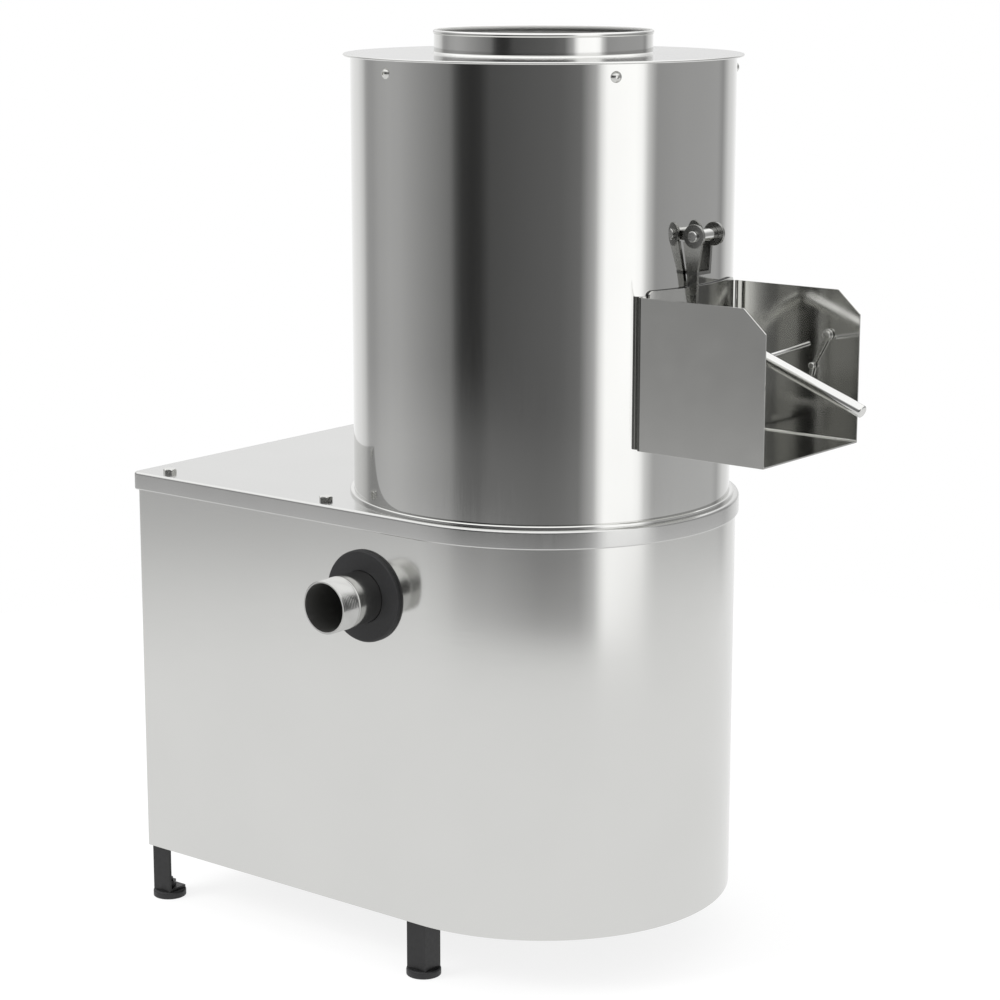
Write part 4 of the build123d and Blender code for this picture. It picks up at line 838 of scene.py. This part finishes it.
DOOR = 202.4
DOOR_WALL = 2.0
DOOR_CORNER = 5.0
DOOR_LOW, DOOR_HIGH = span("door_panel", 2)


def curved_plate(r_in, r_out, half, low, high, corner, columns=48):
    """Rounded rectangle rolled to the drum's curve."""
    bend = [corner * (1 - cos(a)) for a in spread(0, pi / 2, 8)]
    ys = [y - half for y in bend] + spread(corner - half, half - corner, columns)[1:-1]
    ys += [half - y for y in reversed(bend)]
    verts, faces = [], []
    for y in ys:
        over = max(0.0, abs(y) - (half - corner))
        drop = corner - sqrt(max(0.0, corner ** 2 - over ** 2))
        for r in (r_out, r_in):
            x = sqrt(r * r - y * y)
            verts += [(x, y, low + drop), (x, y, high - drop)]
    n = len(ys)
    for i in range(n - 1):
        a, b = 4 * i, 4 * (i + 1)
        faces += [(a, b, b + 1, a + 1), (a + 3, b + 3, b + 2, a + 2),
                  (a + 1, b + 1, b + 3, a + 3), (a + 2, b + 2, b, a)]
    faces += [(0, 1, 3, 2), (4 * n - 4, 4 * n - 2, 4 * n - 1, 4 * n - 3)]
    return Build().add(verts, faces)


curved_plate(DOOR, DOOR + DOOR_WALL, DOOR_HALF, DOOR_LOW, DOOR_HIGH, DOOR_CORNER).object(
    "door_sheet", door_steel, "door", "polished_steel", ["door_panel"], sharp=40)


# Hinge, door arm and handle

HINGE_X, HINGE_Y, HINGE_Z = 213.0, -14.5, 780.2
BARREL, BARREL_HALF = 6.4, 15.5
BOLT = 4.0
BARREL_EDGE, ARM_EDGE = 0.6, 0.25
EYE, CHEEK = 12.0, 3.5
ARM_BACK = DRUM + 0.8
NECK_Z, ROOT_Z, RIB_LOW = 744.2, 711.2, 682.0
NECK_FRONT, ROOT_FRONT = 213.2, 209.5
RIB_Y, RIB_WALL = -20.0, 4.5
NEAR_FOOT, FAR_FOOT = -26.9, -2.1
NEAR_FRONT, FAR_FRONT = 9.5, -2.5
HANDLE, HANDLE_LENGTH, HANDLE_EDGE = 6.5, 208.0, 2.0
HANDLE_ROOT = Vector((208.0, RIB_Y, 696.0))
HANDLE_SLOPE = 20.5
CROSS, CROSS_ALONG, CROSS_REACH, CROSS_TILT, CROSS_SUNK = 2.5, 88.0, 82.0, 3.0, 0.6
slope = radians(HANDLE_SLOPE)
along = Vector((cos(slope), 0, -sin(slope)))
handle_at = frame_at(tuple(HANDLE_ROOT), (0, 1, 0), tuple(along))
hinge_at = to_drain(HINGE_X, HINGE_Y, HINGE_Z)
drum_core = cylinder(SEAT, PORT_HIGH, DRUM_TOP, steps=288)


def box_ring(back, front, low_y, wall, z):
    """Four corners of a level slice through a flat bar."""
    return [(back, low_y, z), (front, low_y, z), (front, low_y + wall, z),
            (back, low_y + wall, z)]


def eased_ring(bore, radius, low, high, edge=EDGE):
    """Profile of a ring or sleeve with eased edges."""
    return rounded([(bore, low), (radius, low), (radius, high), (bore, high)],
                   [FINE_EDGE, edge, edge, FINE_EDGE], 3)


def hinge_eye(build, low_y, front, foot_y):
    """Round eye on the hinge bolt with its bar down to the fork's neck."""
    build.lathe(eased_ring(BOLT + SLIP, EYE, 0, CHEEK),
                to_drain(HINGE_X, low_y + CHEEK, HINGE_Z), 72)
    build.loops([box_ring(ARM_BACK, NECK_FRONT, foot_y, CHEEK, NECK_Z),
                 box_ring(ARM_BACK, HINGE_X + front, low_y, CHEEK, HINGE_Z - EYE / 2)])


face = BARREL_HALF + GAP
arm = Build()
hinge_eye(arm, HINGE_Y - face - CHEEK, NEAR_FRONT, NEAR_FOOT)
hinge_eye(arm, HINGE_Y + face, FAR_FRONT, FAR_FOOT - CHEEK)
arm.loops([box_ring(ARM_BACK, NECK_FRONT, NEAR_FOOT, FAR_FOOT - NEAR_FOOT, NECK_Z - CHEEK),
           box_ring(ARM_BACK, NECK_FRONT, NEAR_FOOT, FAR_FOOT - NEAR_FOOT, NECK_Z)])
arm.loops([box_ring(ARM_BACK, ROOT_FRONT, RIB_Y - RIB_WALL / 2, RIB_WALL, RIB_LOW),
           box_ring(ARM_BACK, ROOT_FRONT, RIB_Y - RIB_WALL / 2, RIB_WALL, ROOT_Z),
           box_ring(ARM_BACK, NECK_FRONT, NEAR_FOOT, CHEEK, NECK_Z)])
door_core = cylinder(DOOR + DOOR_WALL, RIB_LOW - OVERRUN, DOOR_HIGH + GAP, steps=288)
handle_core = cylinder(HANDLE + SLIP, -OVERRUN, HANDLE_LENGTH, handle_at, 64)
arm.object("hinge_arm", arm_steel_painted_shade, "door", "satin_steel", ["door_arm"], sharp=35,
           cuts=[door_core, handle_core], ease=ARM_EDGE)

bar = [(0.0, 0.0)]
bar += [(HANDLE, z) for z in spread(0, HANDLE_LENGTH - HANDLE_EDGE, 12)[:-1]]
bar += arc(HANDLE - HANDLE_EDGE, HANDLE_LENGTH - HANDLE_EDGE, HANDLE_EDGE, 0, 90, 6)
bar += [(0.0, HANDLE_LENGTH)]
Build().lathe(bar, handle_at, 64, closed=False).object(
    "handle_bar", handle_steel, "door", "polished_steel", ["door_handle"])

tilt = radians(CROSS_TILT)
cross_low = HANDLE - CROSS_SUNK
cross = rounded([(0, cross_low), (CROSS, cross_low), (CROSS, CROSS_REACH), (0, CROSS_REACH)],
                [0, 0, CROSS / 3, 0], 4)
cross_at = frame_at(tuple(HANDLE_ROOT + along * CROSS_ALONG), (1, 0, 0),
                    (0, cos(tilt), sin(tilt)))
Build().lathe(cross, cross_at, 40).object(
    "cross_bar", handle_steel, "door", "polished_steel", ["handle_crossbar"])

PIN_HEAD, PIN_HEAD_HIGH, PIN_EDGE = 5.5, 3.0, 0.75
pin_face = face + CHEEK
pin = []
for side in (-1, 1):
    tip = [(0.0, side * (pin_face + PIN_HEAD_HIGH)),
           (PIN_HEAD - PIN_EDGE, side * (pin_face + PIN_HEAD_HIGH)),
           (PIN_HEAD, side * (pin_face + PIN_HEAD_HIGH - PIN_EDGE)),
           (PIN_HEAD, side * pin_face), (BOLT, side * pin_face)]
    pin += tip if side < 0 else tip[::-1]
Build().lathe(pin, hinge_at, 48, closed=False).object(
    "hinge_pin", machined_steel, "door", "machined_steel", ["hinge_bolt"])

WEB_BACK, WEB_HALF = 190.0, 4.5
web_rise = WEB_HALF + (BARREL - WEB_HALF) * (HINGE_X - WEB_BACK) / HINGE_X
web = [(HINGE_X, HINGE_Z + WEB_HALF), (WEB_BACK, HINGE_Z + web_rise),
       (WEB_BACK, HINGE_Z - web_rise), (HINGE_X, HINGE_Z - WEB_HALF)]
Build().prism(web, -BARREL_HALF, BARREL_HALF, to_drain(0, HINGE_Y, 0)).object(
    "hinge_web", arm_steel_painted_shade, "machine", "satin_steel", sharp=35,
    cuts=[cylinder(BARREL - EDGE, -2 * BARREL_HALF, 2 * BARREL_HALF, hinge_at, 64), drum_core])
barrel = eased_ring(BOLT + RUN, BARREL, -BARREL_HALF, BARREL_HALF, BARREL_EDGE)
Build().lathe(barrel, hinge_at, 64).object(
    "hinge_barrel", handle_steel, "machine", "satin_steel", ["hinge_bracket"], sharp=35)


# Catch

CATCH_EYE, CATCH_WALL, CATCH_SPAN = 6.0, 2.0, 37.0
CATCH_ROOT_HALF, CATCH_TIP_HALF, CATCH_TAIL, CATCH_TURN = 2.5, 1.6, 11.0, 14.0
KNUCKLE, KNUCKLE_HIGH, KNUCKLE_EDGES = 3.5, 5.0, [0, 0.4, 1.0, 0]
LEVER_EDGE, LEVER_STEP = 0.3, 0.02
lean = radians(CATCH_LEAN)
catch_down = (-sin(lean), 0, -cos(lean))
catch_at = frame_at((CATCH_X, inner_face - CATCH_GAP, CATCH_Z), catch_down, (0, -1, 0))
lever = Build()
lever.lathe(eased_ring(CATCH_BOLT + RUN, CATCH_EYE, 0, CATCH_WALL), catch_at, 48)
lever.prism([(CATCH_EYE - SUNK, -CATCH_ROOT_HALF), (CATCH_SPAN, -CATCH_TIP_HALF),
             (CATCH_SPAN, CATCH_TIP_HALF), (CATCH_EYE - SUNK, CATCH_ROOT_HALF)],
            0.0, CATCH_WALL, catch_at, LEVER_EDGE)
turned = (catch_at @ Matrix.Translation((CATCH_SPAN, 0, 0))
          @ Matrix.Rotation(radians(CATCH_TURN), 4, "Z"))
lever.lathe(rounded([(0, 0.0), (KNUCKLE, 0.0), (KNUCKLE, KNUCKLE_HIGH), (0, KNUCKLE_HIGH)],
                    KNUCKLE_EDGES, 3), turned, 40)
tail = [(0, -CATCH_TIP_HALF)] + arc(CATCH_TAIL, 0.0, CATCH_TIP_HALF, -90, 90, 8)
tail += [(0, CATCH_TIP_HALF)]
lever.prism(tail, LEVER_STEP, CATCH_WALL - LEVER_STEP, turned, LEVER_EDGE)
lever.object("catch_arm", zinc, "catch", "satin_steel", ["catch_lever"], sharp=35)

CATCH_HEAD, CATCH_HEAD_HIGH, NUT_HIGH, NUT_FLAT = 4.5, 3.2, 3.5, 8.0
# How far the head's edge comes in and down at two points of its curve
HEAD_CURVE = [(0.4, 0.3), (1.2, 0.0)]
wall_at = frame_at((CATCH_X, inner_face, CATCH_Z), catch_down, (0, -1, 0))
head_low = CATCH_GAP + CATCH_WALL + SLIP
nut_low = -SHEET - NUT_HIGH
head_top = head_low + CATCH_HEAD_HIGH
pin = [(0, nut_low), (CATCH_BOLT, nut_low), (CATCH_BOLT, 0), (CATCH_HEAD, 0),
       (CATCH_HEAD, CATCH_GAP - SLIP), (CATCH_BOLT, CATCH_GAP - SLIP), (CATCH_BOLT, head_low),
       (CATCH_HEAD, head_low), (CATCH_HEAD, head_low + CATCH_HEAD_HIGH * 2 / 3)]
pin += [(CATCH_HEAD - across, head_top - down) for across, down in HEAD_CURVE]
pin += [(0, head_top)]
catch_pin = Build().lathe(pin, wall_at, 40, closed=False)
hex_head(catch_pin, wall_at @ Matrix.Translation((0, 0, nut_low)), NUT_FLAT, NUT_HIGH)
catch_pin.object("catch_screw", zinc, "machine", "zinc_fasteners", ["catch_bolt"], sharp=30)


# Drain

DRAIN_FRONT, DRAIN_REACH = 28.0, 271.0
DRAIN_BACK, STEP_LOW, STEP_HIGH, PLAIN_END = 150.0, 229.0, 236.0, 240.0
THREAD_LOW, THREAD_HIGH, PITCH, DEPTH, CREST = 245.0, 269.8, 2.31, 1.1, 0.1
# How far the mouth's outer edge comes in and back
MOUTH_EDGE = [(0.8, 0.4), (1.0, 0.0)]
turns = int((THREAD_HIGH - THREAD_LOW) / (PITCH / 8))
threaded = spread(THREAD_LOW, THREAD_HIGH, turns)


def thread(r, z, a):
    """Helical V thread on the front length, running out at its inner end."""
    if r < DRAIN_FRONT or z <= THREAD_LOW or z >= THREAD_HIGH:
        return r
    wave = abs(2 * ((z / PITCH - a / (2 * pi)) % 1.0) - 1)
    wave = min(1.0, max(0.0, (wave - CREST) / (1 - 2 * CREST)))
    return r - DEPTH * wave * min(1.0, (z - THREAD_LOW) / (2 * PITCH))


stub = [(DRAIN_BORE, z) for z in spread(DRAIN_REACH, DRAIN_BACK, 4)]
stub += [(DRAIN_R, z) for z in spread(DRAIN_BACK, STEP_LOW, 4)]
stub += [(DRAIN_FRONT, z) for z in [STEP_HIGH, PLAIN_END] + threaded]
stub += [(DRAIN_FRONT - across, DRAIN_REACH - back) for across, back in MOUTH_EDGE]
Build().lathe(stub, drain_at, 128, radius=thread).object(
    "drain_stub", drain_steel, "machine", "machined_steel", ["drain_pipe"], sharp=60,
    cuts=[cylinder(DRUM - DRUM_WALL, SUMP_LOW - OVERRUN, COVER, steps=240)])

GROMMET, GROMMET_WALL, GROMMET_LIP, LIP_WALL = 48.5, 5.5, 44.0, 3.0
GROMMET_EDGES = [0.4, 1.0, 0.4, 0, 0, 0.6, 2.5, 0.8]
bore = DRAIN_R + SLIP
lip_low = HALF - SHEET - LIP_WALL
ring = rounded(
    [(bore, lip_low), (GROMMET_LIP, lip_low), (GROMMET_LIP, HALF - SHEET),
     (GROMMET_NECK, HALF - SHEET), (GROMMET_NECK, HALF), (GROMMET, HALF),
     (GROMMET, HALF + GROMMET_WALL), (bore, HALF + GROMMET_WALL)], GROMMET_EDGES)
Build().lathe(ring, drain_at, 128).object(
    "drain_ring", black_rubber, "machine", "black_rubber", ["drain_grommet"])


# Finishes of the nodes that stay as they are

FINISHES = [
    (black_paint, "top_rails deck_rails motor_rails crossbars bearing_deck motor_plate fan_cover "
                  "leg_rear_near leg_rear_far leg_front_near leg_front_far foot_bolts"),
    (satin_steel, "rear_panel drum_pan liner_ring"),
    (mirror_steel, "drum_sump"),
    (machined_steel, "shaft_bearings motor_stator main_shaft disc_nut motor_shaft"),
    (zinc, "rear_panel_screws bearing_bolts motor_bolts"),
    (cast_iron, "bearing_housing driven_pulley drive_pulley"),
    (motor_paint, "motor_flange motor_shell motor_bell"),
    (black_rubber, "door_gasket shaft_seal v_belt"),
    (dark_plastic, "cable_gland terminal_box motor_fan"),
    (liner_grit, "abrasive_liner"),
    (disc_grit, "peeling_disc"),
]
finishes = {name: finish for finish, names in FINISHES for name in names.split()}
for name, obj in nodes.items():
    finish = finishes.get(name, plate_steel)
    if obj.data.materials:
        for i in range(len(obj.data.materials)):
            obj.data.materials[i] = finish
    else:
        obj.data.materials.append(finish)


# Studio

FLOOR_RADIUS, FLOOR_DROP = 1.6, 0.0005
FLOOR_DIFFUSE, FLOOR_GLOW, FLOOR_TONE = 0.22, 0.84, 0.93


def plain(tree, kind, tone):
    """Shader of one grey tone."""
    node = tree.nodes.new(kind)
    node.inputs[0].default_value = (tone, tone, tone, 1)
    return node.outputs[0]


def by_ray(tree, kind, other, seen):
    """One shader for rays of a kind, and another for all other rays."""
    path = tree.nodes.new("ShaderNodeLightPath")
    both = tree.nodes.new("ShaderNodeMixShader")
    tree.links.new(path.outputs[kind], both.inputs[0])
    tree.links.new(other, both.inputs[1])
    tree.links.new(seen, both.inputs[2])
    return both.outputs[0]


def studio():
    """Round white floor that takes soft shadows and has its own tone in mirrors."""
    ring = [(FLOOR_RADIUS * cos(a), FLOOR_RADIUS * sin(a), -FLOOR_DROP)
            for a in spread(0, 2 * pi, 96)[:-1]]
    floor_mesh = bpy.data.meshes.new("studio_floor")
    floor_mesh.from_pydata(ring, [], [tuple(range(len(ring)))])
    floor = bpy.data.objects.new("studio_floor", floor_mesh)
    bpy.context.scene.collection.objects.link(floor)
    mat = bpy.data.materials.new("studio_floor")
    mat.use_nodes = True
    tree = mat.node_tree
    tree.nodes.clear()
    out = tree.nodes.new("ShaderNodeOutputMaterial")
    both = tree.nodes.new("ShaderNodeAddShader")
    tree.links.new(plain(tree, "ShaderNodeBsdfDiffuse", FLOOR_DIFFUSE), both.inputs[0])
    tree.links.new(plain(tree, "ShaderNodeEmission", FLOOR_GLOW), both.inputs[1])
    mirrored = plain(tree, "ShaderNodeEmission", FLOOR_TONE)
    tree.links.new(by_ray(tree, "Is Glossy Ray", both.outputs[0], mirrored), out.inputs[0])
    floor_mesh.materials.append(mat)


# Tones of the room round the object, by direction on the compass, as sRGB 0 to 255. They were
# read off the photo's drum, which the rules of the work don't allow: report.md says more.
ROOM = [(-228.6, 222), (-208, 212), (-195.7, 205), (-188, 187), (-182, 146), (-174, 142),
        (-166.6, 152), (-156, 157), (-146.7, 154), (-130.3, 136), (-115.8, 118), (-109, 106),
        (-105, 72), (-101, 50), (-95, 43), (-89.8, 48), (-83.5, 70), (-65.9, 78),
        (-42.6, 87), (-30.8, 100), (-21.8, 162), (-18.8, 218), (-15, 250), (3, 254),
        (7.5, 245), (11.5, 190), (17.4, 139), (36.6, 146), (73, 150), (80, 134), (91, 190),
        (111, 216)]
# This list and the three below it were set against tones read off the photo.
# Where the floor shows as it does toward the front (1) or the near side (0), by direction
FLOOR_ANGLES = [(-127, 0.0), (-53, 1.0), (-15, 1.0), (8, 0.0)]
# How far the pale floor shows in the room below the horizon: sine of the angle down and
# share of the floor, toward the near side and toward the front
FLOOR_NEAR = [(0.16, 0.0), (0.179, 0.1), (0.19, 0.18), (0.212, 0.19), (0.226, 0.38),
              (0.235, 0.74), (0.245, 0.93), (0.257, 1.0)]
FLOOR_FRONT = [(0.18, 0.0), (0.19, 0.035), (0.23, 0.1), (0.25, 0.18), (0.267, 0.35),
               (0.284, 0.69), (0.3, 0.85), (0.34, 1.0)]
# Sine of the angle down that these two lists may reach
DEEPEST = 0.4
# How much darker the room is just above the horizon, by the sine of the angle up
HORIZON = [(0.0, 0.0), (0.01, 0.2), (0.09, 0.2), (0.17, 0.0)]
# The ceiling's tone and where it begins and is full, and the tone that lights dull surfaces
CEILING, CEILING_FROM, CEILING_FULL, SOFT = 1.4, 0.3, 0.65, 0.86


def linear(value):
    """sRGB tone from 0 to 255 as linear light."""
    v = value / 255
    return v / 12.92 if v <= 0.04045 else ((v + 0.055) / 1.055) ** 2.4


def room():
    """World that mirrors see by direction; the camera sees white and dull surfaces grey."""
    world = bpy.data.worlds.new("room")
    bpy.context.scene.world = world
    world.use_nodes = True
    tree = world.node_tree
    tree.nodes.clear()
    out = tree.nodes.new("ShaderNodeOutputWorld")
    coord = tree.nodes.new("ShaderNodeTexCoord")
    split = tree.nodes.new("ShaderNodeSeparateXYZ")
    tree.links.new(coord.outputs["Generated"], split.inputs[0])
    angle = add(tree, "ShaderNodeMath", operation="ARCTAN2")
    tree.links.new(split.outputs[1], angle.inputs[0])
    tree.links.new(split.outputs[0], angle.inputs[1])
    share = ranged(tree, angle.outputs[0], -pi, pi)
    stops = sorted((((a + 180) % 360) / 360, linear(v) / STEEL[0]) for a, v in ROOM)
    bands = ramp(tree, share, stops)
    height = split.outputs[2]
    depth = ranged(tree, height, 0.0, -DEEPEST)
    near, front = [ramp(tree, depth, [(sink / DEEPEST, tone) for sink, tone in side])
                   for side in (FLOOR_NEAR, FLOOR_FRONT)]
    slide = ramp(tree, share, [((180 + a) / 360, v) for a, v in FLOOR_ANGLES])
    below = mixed(tree, mixed(tree, slide, near, front), bands,
                  (FLOOR_TONE, FLOOR_TONE, FLOOR_TONE, 1))
    dimmed = mixed(tree, ramp(tree, height, HORIZON), below, (0, 0, 0, 1))
    above = ranged(tree, height, CEILING_FROM, CEILING_FULL, "SMOOTHSTEP")
    whole = mixed(tree, above, dimmed, (CEILING, CEILING, CEILING, 1))
    lamp = tree.nodes.new("ShaderNodeBackground")
    tree.links.new(whole, lamp.inputs[0])
    soft = plain(tree, "ShaderNodeBackground", SOFT)
    lit = by_ray(tree, "Is Glossy Ray", soft, lamp.outputs[0])
    white = plain(tree, "ShaderNodeBackground", 1.0)
    tree.links.new(by_ray(tree, "Is Camera Ray", lit, white), out.inputs[0])


def soft_light(name, where, aim, size, power):
    lamp = bpy.data.lights.new(name, "AREA")
    lamp.shape = "SQUARE"
    lamp.size = size
    lamp.energy = power
    obj = bpy.data.objects.new(name, lamp)
    bpy.context.scene.collection.objects.link(obj)
    obj.location = where
    obj.rotation_mode = "QUATERNION"
    obj.rotation_quaternion = (Vector(aim) - Vector(where)).to_track_quat("-Z", "Y")
    obj.visible_glossy = False


# The photo's camera: focal length, lens shift, place and the direction it looks in
LENS, LENS_SHIFT = 94.72, (0.01297, -0.01189)
CAMERA_AT, CAMERA_LOOK = (1666.6, -2195.7, 1072.9), (-0.6080, 0.7668, -0.2060)


def photo_camera():
    cam = bpy.data.cameras.new("photo_camera")
    cam.lens = LENS
    cam.sensor_width = 36.0
    cam.sensor_fit = "HORIZONTAL"
    cam.shift_x, cam.shift_y = LENS_SHIFT
    cam.clip_end = 60.0
    obj = bpy.data.objects.new("photo_camera", cam)
    bpy.context.scene.collection.objects.link(obj)
    obj.location = place(*CAMERA_AT)
    obj.rotation_mode = "QUATERNION"
    obj.rotation_quaternion = Vector(CAMERA_LOOK).to_track_quat("-Z", "Y")
    bpy.context.scene.camera = obj


bpy.context.scene.view_settings.view_transform = "Standard"
studio()
room()
soft_light("key", where=(-1.6, -2.6, 2.6), aim=(0, 0, 0.5), size=1.6, power=60)
photo_camera()
